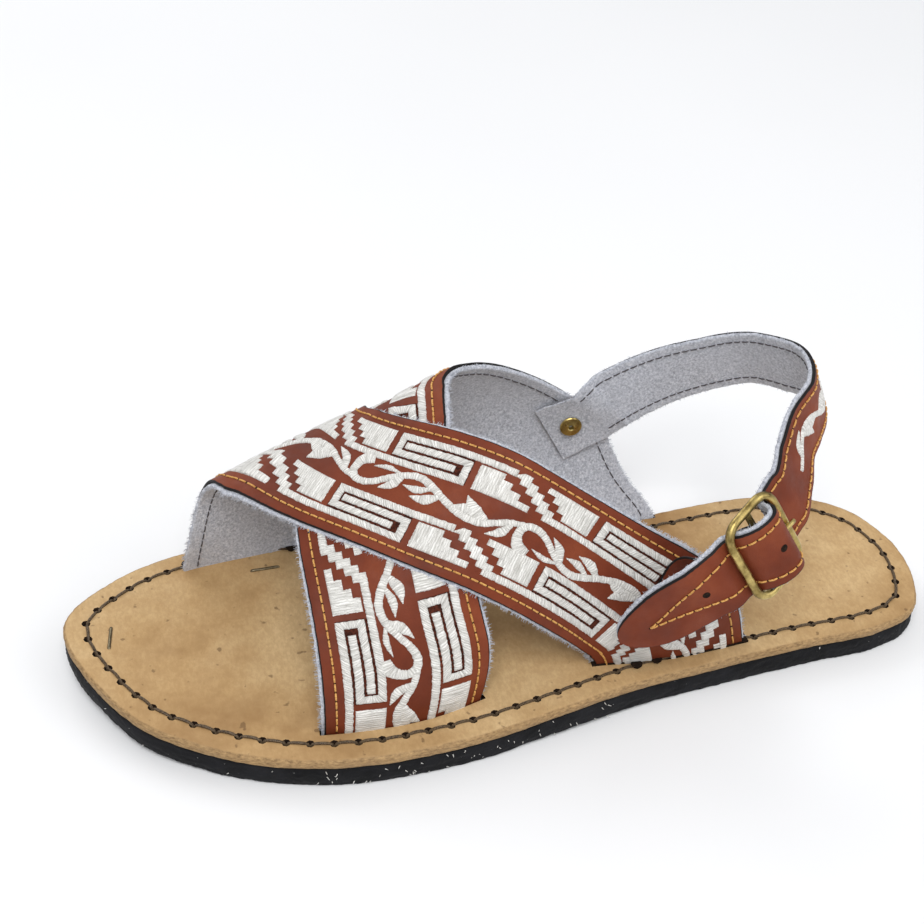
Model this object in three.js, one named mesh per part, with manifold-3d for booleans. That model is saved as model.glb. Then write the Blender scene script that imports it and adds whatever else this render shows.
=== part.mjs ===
// Left huarache sandal: a tyre-rubber outsole, a leather insole with four slots, an upper of two
// crossed straps, and a heel strap that is riveted on the medial side and buckled on the lateral side.
// Millimetres. +X is the toe, +Y the outer (lateral) side, +Z up; the origin is under the middle.
import * as THREE from 'three';
import { mergeVertices } from 'three/addons/utils/BufferGeometryUtils.js';
import Module from 'manifold-3d';

const wasm = await Module();
wasm.setup();

// Driving sizes of the sole and of the last
const soleLength = 285;
const ballWidth = 104.5;
const outsoleThickness = 7.4;
const insoleThickness = 3.8;
const toeSpring = 4;
const waistLift = 1.2;
const instepHeight = 72;

// Driving sizes of the straps
const wall = 2.8;
const crossingLift = 2;
const heelStrapWidth = 23;
const heelStrapThickness = 2.4;
const rootThickness = 1.4;
const tabWidth = 15;
const tabThickness = 1.2;
const gap = 0.3;

// Driving sizes of the metal
const ringLength = 23;
const ringWidth = 31.4;
const ringWire = 2.8;
const ringCorner = 5.6;
const barWire = 2.2;
const prongWire = 1.6;
const holeRadius = 1.1;
const rivetHeadRadius = 4.3;
const rivetWasherRadius = 3.8;
const rivetShankRadius = 1.4;
const rivetBore = 0.9;
const rivetWasher = 1.1;
const rivetDome = 1.5;
const stapleLength = 10.5;
const stapleWire = 1.1;
const stapleLeg = 2.6;

const halfBall = ballWidth / 2;

// Outline of the sole: distance from the heel end as a share of soleLength, and how far the
// medial and the lateral edge lie from the middle line as shares of half the ball width.
const outlineTable = [
  { at: 0.028, medial: 0.50, lateral: 0.46 },
  { at: 0.088, medial: 0.72, lateral: 0.60 },
  { at: 0.175, medial: 0.78, lateral: 0.63 },
  { at: 0.281, medial: 0.735, lateral: 0.685 },
  { at: 0.386, medial: 0.69, lateral: 0.76 },
  { at: 0.491, medial: 0.71, lateral: 0.88 },
  { at: 0.596, medial: 0.81, lateral: 0.975 },
  { at: 0.702, medial: 0.96, lateral: 1.0 },
  { at: 0.789, medial: 1.0, lateral: 0.915 },
  { at: 0.870, medial: 0.925, lateral: 0.72 },
  { at: 0.940, medial: 0.74, lateral: 0.425 },
];
const heelMiddle = -0.04;
const toeMiddle = -0.34;

// Sections of the last: feather edges and ridge across the foot as shares of half the ball width,
// height as a share of instepHeight, how far the medial wall (swellIn) and the lateral one (swellOut)
// swell past their feather edges, and how square the medial shoulder is (2 is an ellipse).
const lastTable = [
  {
    at: 0.21, medial: -0.7, lateral: 0.48, ridge: -0.39, height: 1.01,
    swellIn: 0.06, swellOut: 0.04, square: 3,
  },
  {
    at: 0.351, medial: -0.69, lateral: 0.548, ridge: -0.43, height: 1.02,
    swellIn: 0.22, swellOut: 0.06, square: 4,
  },
  {
    at: 0.456, medial: -0.7, lateral: 0.525, ridge: -0.49, height: 1.075,
    swellIn: 0.26, swellOut: 0.06, square: 5,
  },
  {
    at: 0.509, medial: -0.722, lateral: 0.565, ridge: -0.53, height: 1.07,
    swellIn: 0.23, swellOut: 0.06, square: 5,
  },
  {
    at: 0.561, medial: -0.757, lateral: 0.62, ridge: -0.55, height: 0.99,
    swellIn: 0.16, swellOut: 0.06, square: 4.5,
  },
  {
    at: 0.632, medial: -0.824, lateral: 0.715, ridge: -0.57, height: 0.835,
    swellIn: 0.09, swellOut: 0.04, square: 3.4,
  },
  {
    at: 0.702, medial: -0.862, lateral: 0.727, ridge: -0.585, height: 0.703,
    swellIn: 0.06, swellOut: 0.02, square: 3.1,
  },
  {
    at: 0.772, medial: -0.833, lateral: 0.69, ridge: -0.585, height: 0.59,
    swellIn: 0.02, swellOut: 0.02, square: 2.7,
  },
  {
    at: 0.86, medial: -0.757, lateral: 0.6, ridge: -0.55, height: 0.465,
    swellIn: -0.03, swellOut: 0.02, square: 2.3,
  },
  {
    at: 0.93, medial: -0.585, lateral: 0.45, ridge: -0.43, height: 0.375,
    swellIn: 0.02, swellOut: 0.02, square: 2.6,
  },
];
const medialTurn = 2.6;
const lateralTurn = 1.9;

// Straps over the last, a row for each fold: where the front and the rear edge lie along the sole,
// and how far each has gone over the last from the medial feather edge (0) to the lateral one (1).
const topStrapTable = [
  { frontAt: 0.858, frontOver: 0, rearAt: 0.684, rearOver: 0 },
  { frontAt: 0.833, frontOver: 0.269, rearAt: 0.666, rearOver: 0.087 },
  { frontAt: 0.816, frontOver: 0.458, rearAt: 0.654, rearOver: 0.194 },
  { frontAt: 0.809, frontOver: 0.505, rearAt: 0.652, rearOver: 0.218 },
  { frontAt: 0.796, frontOver: 0.531, rearAt: 0.638, rearOver: 0.355 },
  { frontAt: 0.733, frontOver: 0.635, rearAt: 0.625, rearOver: 0.500 },
  { frontAt: 0.576, frontOver: 0.819, rearAt: 0.491, rearOver: 0.694 },
  { frontAt: 0.451, frontOver: 0.968, rearAt: 0.338, rearOver: 0.814 },
  { frontAt: 0.443, frontOver: 0.980, rearAt: 0.289, rearOver: 0.870 },
  { frontAt: 0.438, frontOver: 0.988, rearAt: 0.271, rearOver: 0.921 },
  { frontAt: 0.434, frontOver: 1, rearAt: 0.254, rearOver: 1 },
];
const underStrapTable = [
  { frontAt: 0.744, frontOver: 1, rearAt: 0.571, rearOver: 1 },
  { frontAt: 0.743, frontOver: 0.877, rearAt: 0.563, rearOver: 0.912 },
  { frontAt: 0.743, frontOver: 0.788, rearAt: 0.572, rearOver: 0.820 },
  { frontAt: 0.744, frontOver: 0.661, rearAt: 0.576, rearOver: 0.702 },
  { frontAt: 0.737, frontOver: 0.571, rearAt: 0.576, rearOver: 0.626 },
  { frontAt: 0.722, frontOver: 0.469, rearAt: 0.569, rearOver: 0.564 },
  { frontAt: 0.701, frontOver: 0.323, rearAt: 0.562, rearOver: 0.509 },
  { frontAt: 0.662, frontOver: 0.190, rearAt: 0.549, rearOver: 0.451 },
  { frontAt: 0.606, frontOver: 0.110, rearAt: 0.525, rearOver: 0.362 },
  { frontAt: 0.555, frontOver: 0.062, rearAt: 0.470, rearOver: 0.271 },
  { frontAt: 0.508, frontOver: 0.024, rearAt: 0.368, rearOver: 0.155 },
  { frontAt: 0.480, frontOver: 0.008, rearAt: 0.321, rearOver: 0.048 },
  { frontAt: 0.457, frontOver: 0, rearAt: 0.281, rearOver: 0 },
];

// Root of the heel strap on the foot side of the upper: centre line along the sole and over the last.
const rootTable = [
  { at: 0.414, over: 0.108 },
  { at: 0.389, over: 0.130 },
  { at: 0.368, over: 0.150 },
];

// Free loop of the heel strap: its centre line as shares of soleLength, of half the ball width and
// of instepHeight above the insole, and the way its upper edge leans (forward, outward, up).
const loopTable = [
  { at: 0.344, side: -0.888, rise: 0.642, lean: [0.51, -0.16, 0.85] },
  { at: 0.289, side: -0.872, rise: 0.757, lean: [0.42, -0.05, 0.91] },
  { at: 0.239, side: -0.807, rise: 0.840, lean: [0.38, 0.06, 0.92] },
  { at: 0.193, side: -0.708, rise: 0.906, lean: [0.38, 0.08, 0.92] },
  { at: 0.165, side: -0.525, rise: 0.945, lean: [0.38, -0.03, 0.92] },
  { at: 0.150, side: -0.335, rise: 0.978, lean: [0.42, -0.08, 0.90] },
  { at: 0.155, side: -0.145, rise: 0.984, lean: [0.36, -0.08, 0.93] },
  { at: 0.173, side: 0.037, rise: 0.977, lean: [0.30, -0.06, 0.95] },
  { at: 0.203, side: 0.218, rise: 0.947, lean: [0.43, -0.09, 0.90] },
  { at: 0.2200, side: 0.378, rise: 0.889, lean: [0.55, -0.10, 0.83] },
];

// The buckle: its middle, the way the strap runs through it, and the way of its bars.
const buckleAt = 0.2807;
const buckleSide = 0.785;
const buckleRise = 0.735;
const buckleRun = new THREE.Vector3(0.789, 0.504, -0.351).normalize();
const buckleBars = new THREE.Vector3(0.496, -0.186, 0.848).normalize();

// The billet, from the buckle to its rounded tip.
const billetTable = [
  { at: 0.347, side: 0.880, rise: 0.582, lean: [0.66, -0.09, 0.74] },
  { at: 0.369, side: 0.839, rise: 0.486, lean: [0.72, -0.11, 0.69] },
  { at: 0.394, side: 0.804, rise: 0.380, lean: [0.69, -0.10, 0.71] },
  { at: 0.424, side: 0.755, rise: 0.272, lean: [0.64, -0.07, 0.77] },
];

// The tab that holds the buckle's bar, where it lies on the lateral end of the top strap.
const tabTable = [
  { at: 0.356, over: 0.886 },
  { at: 0.376, over: 0.910 },
  { at: 0.394, over: 0.930 },
];

// Staples through the insole: middle of each as shares, and its turn about +Z in degrees.
const stapleTable = [
  { name: 'staple_toe', at: 0.951, side: -0.21, turn: 82 },
  { name: 'staple_ball', at: 0.767, side: -0.69, turn: 2 },
  { name: 'staple_waist', at: 0.33, side: -0.05, turn: 5 },
];

// Rivet through the upper and the root of the heel strap.
const rivetAt = rootTable[1].at;
const rivetOver = rootTable[1].over;

const soleStations = 44;
const strapStations = 44;
const strapAcross = 8;
const ribbonSteps = 84;

const leatherBrown = new THREE.MeshStandardMaterial({ color: 0x7d3f2c, roughness: 0.6 });
const leatherNatural = new THREE.MeshStandardMaterial({ color: 0xc3a67a, roughness: 0.8 });
const tyreRubber = new THREE.MeshStandardMaterial({ color: 0x1b1c1f, roughness: 0.85 });
const brass = new THREE.MeshStandardMaterial({ color: 0xa48c52, roughness: 0.35, metalness: 1 });
const steel = new THREE.MeshStandardMaterial({ color: 0x8c8577, roughness: 0.45, metalness: 1 });

const alongX = (share) => (share - 0.5) * soleLength;
const across = (share) => share * halfBall;

// Smooth value of one column of a table at a place along the sole.
function columnAt(table, column, at) {
  const last = table.length - 1;
  const clamped = Math.min(Math.max(at, table[0].at), table[last].at);
  let row = 0;
  while (row < last - 1 && table[row + 1].at < clamped) row += 1;
  const span = table[row + 1].at - table[row].at;
  const t = (clamped - table[row].at) / span;
  const slope = (i) => {
    const before = Math.max(i - 1, 0);
    const after = Math.min(i + 1, last);
    return (table[after][column] - table[before][column]) / (table[after].at - table[before].at);
  };
  const start = table[row][column];
  const end = table[row + 1][column];
  const t2 = t * t;
  const t3 = t2 * t;
  return (2 * t3 - 3 * t2 + 1) * start + (t3 - 2 * t2 + t) * span * slope(row)
    + (3 * t2 - 2 * t3) * end + (t3 - t2) * span * slope(row + 1);
}

const smoothStep = (from, to, value) => THREE.MathUtils.smoothstep(value, from, to);

// How far the whole sole is lifted off the floor: the waist's arch and the toe's spring.
function floorLift(at) {
  const waist = waistLift * smoothStep(0.3, 0.45, at) * (1 - smoothStep(0.45, 0.6, at));
  const toe = toeSpring * Math.max(0, (at - 0.8) / 0.2) ** 2;
  return waist + toe;
}

const outsoleTop = (at) => floorLift(at) + outsoleThickness;
const insoleBottom = (at) => outsoleTop(at) + gap;
const insoleTop = (at) => insoleBottom(at) + insoleThickness;

// The closed outline as a smooth curve, read off as a medial and a lateral edge at each station.
function outlineEdges() {
  const points = [new THREE.Vector3(alongX(0), across(heelMiddle), 0)];
  for (const row of outlineTable) points.push(new THREE.Vector3(alongX(row.at), -across(row.medial), 0));
  points.push(new THREE.Vector3(alongX(1), across(toeMiddle), 0));
  for (const row of [...outlineTable].reverse()) {
    points.push(new THREE.Vector3(alongX(row.at), across(row.lateral), 0));
  }
  const curve = new THREE.CatmullRomCurve3(points, true, 'centripetal');
  const samples = curve.getPoints(600);
  const toe = samples.reduce((best, point, i) => (point.x > samples[best].x ? i : best), 0);
  const heel = samples.reduce((best, point, i) => (point.x < samples[best].x ? i : best), 0);
  const turned = (i) => samples[(i + samples.length) % samples.length];
  const medial = [];
  for (let i = heel; i <= toe + (toe < heel ? samples.length : 0); i += 1) medial.push(turned(i));
  const lateral = [];
  for (let i = toe; i <= heel + samples.length; i += 1) lateral.push(turned(i));
  lateral.reverse();
  const sideAt = (side) => (x) => {
    let i = 0;
    while (i < side.length - 2 && side[i + 1].x < x) i += 1;
    const t = (x - side[i].x) / (side[i + 1].x - side[i].x);
    return THREE.MathUtils.lerp(side[i].y, side[i + 1].y, THREE.MathUtils.clamp(t, 0, 1));
  };
  return {
    low: medial[0].x,
    high: medial[medial.length - 1].x,
    medial: sideAt(medial),
    lateral: sideAt(lateral),
  };
}

// A closed solid from stations that each hold an outer and an inner row of points.
function slabSolid(stations) {
  const count = stations[0].outer.length;
  const positions = [];
  for (const station of stations) {
    for (const point of [...station.outer, ...station.inner]) positions.push(point.x, point.y, point.z);
  }
  const outer = (i, j) => i * 2 * count + j;
  const inner = (i, j) => outer(i, j) + count;
  const indices = [];
  const quad = (a, b, c, d) => indices.push(a, b, c, a, c, d);
  const end = stations.length - 1;
  for (let i = 0; i < end; i += 1) {
    for (let j = 0; j < count - 1; j += 1) {
      quad(outer(i, j), outer(i, j + 1), outer(i + 1, j + 1), outer(i + 1, j));
      quad(inner(i, j), inner(i + 1, j), inner(i + 1, j + 1), inner(i, j + 1));
    }
    quad(outer(i, 0), outer(i + 1, 0), inner(i + 1, 0), inner(i, 0));
    quad(outer(i, count - 1), inner(i, count - 1), inner(i + 1, count - 1), outer(i + 1, count - 1));
  }
  for (let j = 0; j < count - 1; j += 1) {
    quad(outer(0, j), inner(0, j), inner(0, j + 1), outer(0, j + 1));
    quad(outer(end, j), outer(end, j + 1), inner(end, j + 1), inner(end, j));
  }
  const geometry = new THREE.BufferGeometry();
  geometry.setAttribute('position', new THREE.Float32BufferAttribute(positions, 3));
  geometry.setIndex(indices);
  return turnedOutward(geometry);
}

// The same body with its faces pointing out, whichever way its stations ran.
function turnedOutward(geometry) {
  const points = geometry.getAttribute('position');
  const index = geometry.getIndex().array;
  const corners = [new THREE.Vector3(), new THREE.Vector3(), new THREE.Vector3()];
  let volume = 0;
  for (let i = 0; i < index.length; i += 3) {
    corners.forEach((corner, k) => corner.fromBufferAttribute(points, index[i + k]));
    volume += corners[0].dot(corners[1].clone().cross(corners[2]));
  }
  if (volume < 0) {
    for (let i = 0; i < index.length; i += 3) [index[i + 1], index[i + 2]] = [index[i + 2], index[i + 1]];
  }
  return geometry;
}

function toSolid(geometry) {
  const bare = geometry.clone();
  bare.deleteAttribute('normal');
  bare.deleteAttribute('uv');
  const merged = mergeVertices(bare, 1e-5);
  const vertProperties = new Float32Array(merged.getAttribute('position').array);
  const triVerts = new Uint32Array(merged.getIndex().array);
  return new wasm.Manifold(new wasm.Mesh({ numProp: 3, vertProperties, triVerts }));
}

function toGeometry(solid) {
  const mesh = solid.getMesh();
  const geometry = new THREE.BufferGeometry();
  geometry.setAttribute('position', new THREE.Float32BufferAttribute(mesh.vertProperties, 3));
  geometry.setIndex(Array.from(mesh.triVerts));
  return geometry;
}

// A slab of the sole's outline between two heights, each a function of the place along the sole.
function soleSlab(bottom, top) {
  const edges = outlineEdges();
  const stations = [];
  for (let i = 0; i <= soleStations; i += 1) {
    const turn = THREE.MathUtils.lerp(0.07, Math.PI - 0.07, i / soleStations);
    const x = THREE.MathUtils.lerp(edges.low, edges.high, (1 - Math.cos(turn)) / 2);
    const at = x / soleLength + 0.5;
    const sides = [edges.medial(x), edges.lateral(x)];
    stations.push({
      outer: sides.map((y) => new THREE.Vector3(x, y, top(at))),
      inner: sides.map((y) => new THREE.Vector3(x, y, bottom(at))),
    });
  }
  return slabSolid(stations);
}

// A point of the last: at along the sole, over from the medial feather edge to the lateral one.
function lastPoint(at, over) {
  const column = (name) => columnAt(lastTable, name, at);
  const angle = over * Math.PI;
  const medialHalf = over < 0.5;
  const rise = Math.sin(angle) ** (2 / (medialHalf ? medialTurn : lateralTurn));
  const square = medialHalf ? column('square') : lateralTurn;
  const reach = Math.max(1 - rise ** square, 0) ** (1 / square);
  const ridge = column('ridge');
  const feather = column(medialHalf ? 'medial' : 'lateral');
  const swell = medialHalf ? -column('swellIn') : column('swellOut');
  const side = ridge + (feather - ridge) * reach + swell * 4 * rise * (1 - rise) * reach;
  return new THREE.Vector3(alongX(at), across(side), insoleTop(at) + column('height') * instepHeight * rise);
}

// Outward normal of the last.
function lastNormal(at, over) {
  const step = 0.004;
  const safe = THREE.MathUtils.clamp(over, 3 * step, 1 - 3 * step);
  const alongSole = lastPoint(at + step, safe).sub(lastPoint(at - step, safe));
  const overFoot = lastPoint(at, safe + step).sub(lastPoint(at, safe - step));
  const normal = alongSole.cross(overFoot).normalize();
  return normal;
}

// One value of a strap's table at a share of its rows, smoothly.
function foldValue(table, column, share) {
  const rows = table.map((row, i) => ({ at: i / (table.length - 1), value: row[column] }));
  return columnAt(rows, 'value', share);
}

// A place on a strap: its last coordinates at a share along its rows and a share across its width.
function strapPlace(table, along, acrossShare) {
  const at = THREE.MathUtils.lerp(
    foldValue(table, 'frontAt', along),
    foldValue(table, 'rearAt', along),
    acrossShare,
  );
  const over = THREE.MathUtils.lerp(
    foldValue(table, 'frontOver', along),
    foldValue(table, 'rearOver', along),
    acrossShare,
  );
  return { at, over: THREE.MathUtils.clamp(over, 0, 1) };
}

// The vertical tail of a strap in its slot: its foot-side points, pushed out by the wall.
function tailStation(table, along, height, grow) {
  const outer = [];
  const inner = [];
  for (let j = 0; j <= strapAcross; j += 1) {
    const place = strapPlace(table, along, j / strapAcross);
    const base = lastPoint(place.at, place.over);
    const outward = lastNormal(place.at, place.over).setZ(0).normalize();
    const edge = j === 0 ? grow : (j === strapAcross ? -grow : 0);
    base.x += edge;
    base.z = height(place.at);
    outer.push(base.clone().addScaledVector(outward, wall + grow));
    inner.push(base.clone().addScaledVector(outward, -grow));
  }
  return { outer, inner };
}

function strapSolid(table, liftAt) {
  const tailEnd = (at) => outsoleTop(at) + gap;
  const stations = [tailStation(table, 0, tailEnd, 0), tailStation(table, 0, insoleTop, 0)];
  for (let i = 1; i < strapStations; i += 1) {
    const along = i / strapStations;
    const station = { outer: [], inner: [] };
    for (let j = 0; j <= strapAcross; j += 1) {
      const place = strapPlace(table, along, j / strapAcross);
      const foot = lastPoint(place.at, place.over);
      const normal = lastNormal(place.at, place.over);
      const lift = liftAt(place.at, place.over);
      station.inner.push(foot.clone().addScaledVector(normal, lift));
      station.outer.push(foot.clone().addScaledVector(normal, lift + wall));
    }
    stations.push(station);
  }
  stations.push(tailStation(table, 1, insoleTop, 0), tailStation(table, 1, tailEnd, 0));
  return slabSolid(stations);
}

// The cut for one end of a strap: its tail with the gap all round, past both faces of the insole.
function slotSolid(table, along) {
  const below = (at) => outsoleTop(at);
  const above = (at) => insoleTop(at) + gap;
  return slabSolid([tailStation(table, along, below, gap), tailStation(table, along, above, gap)]);
}

// The top strap stands off the last where it has to pass over the other one.
const topLift = (at, over) => crossingLift * smoothStep(0.05, 0.3, over) * smoothStep(0.44, 0.54, at);

// The frame of the buckle: run across its bars, bars along them, out away from the foot.
const buckleFrame = {
  middle: new THREE.Vector3(
    alongX(buckleAt),
    across(buckleSide),
    insoleTop(buckleAt) + buckleRise * instepHeight,
  ),
  run: buckleRun,
  bars: buckleBars.clone().addScaledVector(buckleRun, -buckleBars.dot(buckleRun)).normalize(),
};
buckleFrame.out = buckleFrame.bars.clone().cross(buckleFrame.run).normalize();

function inBuckle(run, bars, out) {
  return buckleFrame.middle.clone()
    .addScaledVector(buckleFrame.run, run)
    .addScaledVector(buckleFrame.bars, bars)
    .addScaledVector(buckleFrame.out, out);
}

// Half lengths of the ring's middle line, and the eye that wraps the bar.
const ringHalfRun = (ringLength - ringWire) / 2;
const ringHalfBars = (ringWidth - ringWire) / 2;
const eyeInner = barWire / 2 + gap;
const eyeOuter = eyeInner + tabThickness;
const prongOut = ringWire / 2 + gap + prongWire / 2;
const prongTip = ringHalfRun + ringWire / 2 + 0.6;

// The way of the strap through the buckle, as shares of the ring's half length: run along the strap,
// out from the foot and shift along the bars. It goes under one side, over the bar and under the other.
const weaveTable = [
  { run: -1.88, out: -0.356, shift: 0.20 },
  { run: -1.49, out: -0.337, shift: 0.16 },
  { run: -1.14, out: -0.317, shift: 0.10 },
  { run: -0.89, out: -0.277, shift: 0.05 },
  { run: -0.723, out: -0.09, shift: 0 },
  { run: -0.663, out: 0.158, shift: 0 },
  { run: -0.584, out: 0.396, shift: 0 },
  { run: -0.386, out: 0.564, shift: 0 },
  { run: -0.119, out: 0.584, shift: 0 },
  { run: 0.178, out: 0.495, shift: 0 },
  { run: 0.436, out: 0.317, shift: 0 },
  { run: 0.624, out: 0.10, shift: 0 },
  { run: 0.733, out: -0.119, shift: 0 },
  { run: 0.95, out: -0.29, shift: 0 },
  { run: 1.21, out: -0.337, shift: 0 },
  { run: 1.53, out: -0.356, shift: 0 },
];

// The middle point and the lean of a row of the free strap.
function freeRow(row) {
  const height = insoleTop(row.at) + row.rise * instepHeight;
  return {
    point: new THREE.Vector3(alongX(row.at), across(row.side), height),
    lean: new THREE.Vector3(...row.lean),
  };
}

// The heel strap's middle line with the lean of its upper edge, its thickness, and how far it
// clings to the last and at what height over it.
function heelStrapRows() {
  const rows = [];
  const skin = -(1.3 * gap + rootThickness / 2);
  for (const root of rootTable) {
    const point = lastPoint(root.at, root.over).addScaledVector(lastNormal(root.at, root.over), skin);
    rows.push({ point, lean: new THREE.Vector3(0.55, 0, 0.83), thickness: rootThickness, cling: 1, skin });
  }
  const free = { thickness: heelStrapThickness, cling: 0, skin };
  for (const row of loopTable) rows.push({ ...free, ...freeRow(row) });
  for (const row of weaveTable) {
    const point = inBuckle(row.run * ringHalfRun, row.shift * ringHalfRun, row.out * ringHalfRun);
    rows.push({ ...free, point, lean: buckleFrame.bars.clone() });
  }
  for (const row of billetTable) rows.push({ ...free, ...freeRow(row) });
  return rows;
}

// A point moved onto the skin of the last, where that skin lies at the point's own x and z.
function onSkin(point, lateralHalf, skin) {
  const at = point.x / soleLength + 0.5;
  const height = columnAt(lastTable, 'height', at) * instepHeight;
  const rise = THREE.MathUtils.clamp((point.z - insoleTop(at)) / height, 0, 1);
  const turned = Math.asin(rise ** ((lateralHalf ? lateralTurn : medialTurn) / 2)) / Math.PI;
  const over = lateralHalf ? 1 - turned : turned;
  return lastPoint(at, over).addScaledVector(lastNormal(at, over), skin);
}

// A ribbon along rows, each with a middle point, a lean for its upper edge and a thickness.
function ribbonSolid(rows, halfWidthAt, steps, lateralHalf = false) {
  const curve = new THREE.CatmullRomCurve3(rows.map((row) => row.point), false, 'centripetal');
  const stations = [];
  for (let i = 0; i <= steps; i += 1) {
    const t = i / steps;
    const place = t * (rows.length - 1);
    const low = Math.min(Math.floor(place), rows.length - 2);
    const between = (name) => THREE.MathUtils.lerp(rows[low][name], rows[low + 1][name], place - low);
    const point = curve.getPoint(t);
    const tangent = curve.getTangent(t);
    const lean = rows[low].lean.clone().lerp(rows[low + 1].lean, place - low);
    lean.addScaledVector(tangent, -lean.dot(tangent)).normalize();
    const normal = lean.clone().cross(tangent).normalize();
    const half = between('thickness') / 2;
    const reach = halfWidthAt(t);
    const edge = (side, out) => {
      const onRibbon = point.clone().addScaledVector(lean, side * reach);
      const free = onRibbon.clone().addScaledVector(normal, out * half);
      const cling = between('cling');
      if (cling === 0) return free;
      return free.lerp(onSkin(onRibbon, lateralHalf, between('skin') + out * half), cling);
    };
    const row = (out) => [-1, -0.5, 0, 0.5, 1].map((side) => edge(side, out));
    stations.push({ outer: row(1), inner: row(-1) });
  }
  return slabSolid(stations);
}

// A straight round rod between two points.
function rodGeometry(from, to, radius, sides = 12) {
  const rod = new THREE.CylinderGeometry(radius, radius, from.distanceTo(to), sides);
  const turn = new THREE.Quaternion().setFromUnitVectors(
    new THREE.Vector3(0, 1, 0),
    to.clone().sub(from).normalize(),
  );
  rod.applyQuaternion(turn);
  const middle = from.clone().add(to).multiplyScalar(0.5);
  rod.translate(middle.x, middle.y, middle.z);
  return rod;
}

// A turned piece about an axis through a point.
function turnedGeometry(profile, origin, axis, sides = 20) {
  const body = new THREE.LatheGeometry(profile.map(([r, h]) => new THREE.Vector2(r, h)), sides);
  body.applyQuaternion(new THREE.Quaternion().setFromUnitVectors(new THREE.Vector3(0, 1, 0), axis));
  body.translate(origin.x, origin.y, origin.z);
  return body;
}

// Ring of the buckle: a rounded rectangle of wire with a bar across its middle.
function buckleRingGeometry(grow) {
  const corners = [
    [ringHalfRun - ringCorner, ringHalfBars - ringCorner, 0],
    [-(ringHalfRun - ringCorner), ringHalfBars - ringCorner, Math.PI / 2],
    [-(ringHalfRun - ringCorner), -(ringHalfBars - ringCorner), Math.PI],
    [ringHalfRun - ringCorner, -(ringHalfBars - ringCorner), 1.5 * Math.PI],
  ];
  const wireSides = 10;
  const cornerSteps = 4;
  const rings = [];
  for (const [run, bars, start] of corners) {
    for (let i = 0; i <= cornerSteps; i += 1) {
      const turn = start + (i / cornerSteps) * (Math.PI / 2);
      const ring = [];
      for (let k = 0; k < wireSides; k += 1) {
        const around = (k / wireSides) * 2 * Math.PI;
        const reach = ringCorner + (ringWire / 2 + grow) * Math.cos(around);
        const out = (ringWire / 2 + grow) * Math.sin(around);
        ring.push(inBuckle(run + reach * Math.cos(turn), bars + reach * Math.sin(turn), out));
      }
      rings.push(ring);
    }
  }
  const positions = rings.flat().flatMap((point) => point.toArray());
  const indices = [];
  for (let i = 0; i < rings.length; i += 1) {
    const next = (i + 1) % rings.length;
    for (let k = 0; k < wireSides; k += 1) {
      const after = (k + 1) % wireSides;
      const [a, b] = [i * wireSides + k, i * wireSides + after];
      const [c, d] = [next * wireSides + after, next * wireSides + k];
      indices.push(a, b, c, a, c, d);
    }
  }
  const geometry = new THREE.BufferGeometry();
  geometry.setAttribute('position', new THREE.Float32BufferAttribute(positions, 3));
  geometry.setIndex(indices);
  return turnedOutward(geometry);
}

function buckleSolid(grow) {
  const bar = rodGeometry(inBuckle(0, -ringHalfBars, 0), inBuckle(0, ringHalfBars, 0), barWire / 2 + grow);
  return toSolid(buckleRingGeometry(grow)).add(toSolid(bar));
}

// The largest body of a solid, without the crumbs that a cut may leave.
function largestBody(solid) {
  return solid.decompose().reduce((best, body) => (body.volume() > best.volume() ? body : best));
}

// The prong: an eye round the bar and a rod that goes back through the strap and rests on the ring.
function prongGeometry() {
  const half = prongWire / 2 + 0.3;
  const profile = [
    [eyeInner, -half], [eyeOuter, -half], [eyeOuter, half],
    [eyeInner, half], [eyeInner, -half],
  ];
  const eye = turnedGeometry(profile, buckleFrame.middle, buckleFrame.bars, 20);
  const rod = rodGeometry(inBuckle(-0.5, 0, prongOut), inBuckle(-prongTip, 0, prongOut), prongWire / 2);
  return toGeometry(toSolid(eye).add(toSolid(rod)));
}

// The way of the tab beside the bar as shares of the ring's half length, first its short outer
// ply and then its long inner ply, which goes on to the lateral end of the top strap.
const tabOuterTable = [
  { run: 1.49, out: -0.584 },
  { run: 1.0, out: -0.564 },
  { run: 0.644, out: -0.455 },
  { run: 0.317, out: -0.297 },
];
const tabInnerTable = [
  { run: 0.129, out: -0.406 },
  { run: 0.495, out: -0.594 },
  { run: 1.0, out: -0.743 },
  { run: 1.39, out: -0.80 },
];

// The tab: from the lateral end of the top strap up to the bar, round it and a little way back.
function tabGeometry() {
  const plain = { thickness: tabThickness, cling: 0, skin: 0 };
  const bars = buckleFrame.bars.clone();
  const beside = (row) => {
    const point = inBuckle(row.run * ringHalfRun, 0, row.out * ringHalfRun);
    return { ...plain, point, lean: bars };
  };
  const rows = tabOuterTable.map(beside);
  const eyeRadius = (eyeInner + eyeOuter) / 2;
  const eyeSteps = 9;
  for (let i = 0; i <= eyeSteps; i += 1) {
    const turn = THREE.MathUtils.lerp(-0.33 * Math.PI, 1.39 * Math.PI, i / eyeSteps);
    const point = inBuckle(eyeRadius * Math.cos(turn), 0, eyeRadius * Math.sin(turn));
    rows.push({ ...plain, point, lean: bars });
  }
  rows.push(...tabInnerTable.map(beside));
  for (const row of tabTable) {
    const skin = wall + 2 * gap + tabThickness / 2;
    const point = lastPoint(row.at, row.over).addScaledVector(lastNormal(row.at, row.over), skin);
    rows.push({ thickness: tabThickness, cling: 1, skin, point, lean: new THREE.Vector3(0.62, -0.08, 0.78) });
  }
  const tab = toSolid(ribbonSolid(rows, () => tabWidth / 2, 66, true));
  const slotHalf = prongWire / 2 + 0.3 + gap;
  const slot = rodGeometry(inBuckle(0, -slotHalf, 0), inBuckle(0, slotHalf, 0), eyeOuter + prongWire, 24);
  return toGeometry(largestBody(tab.subtract(toSolid(slot)).subtract(buckleSolid(gap))));
}

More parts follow.
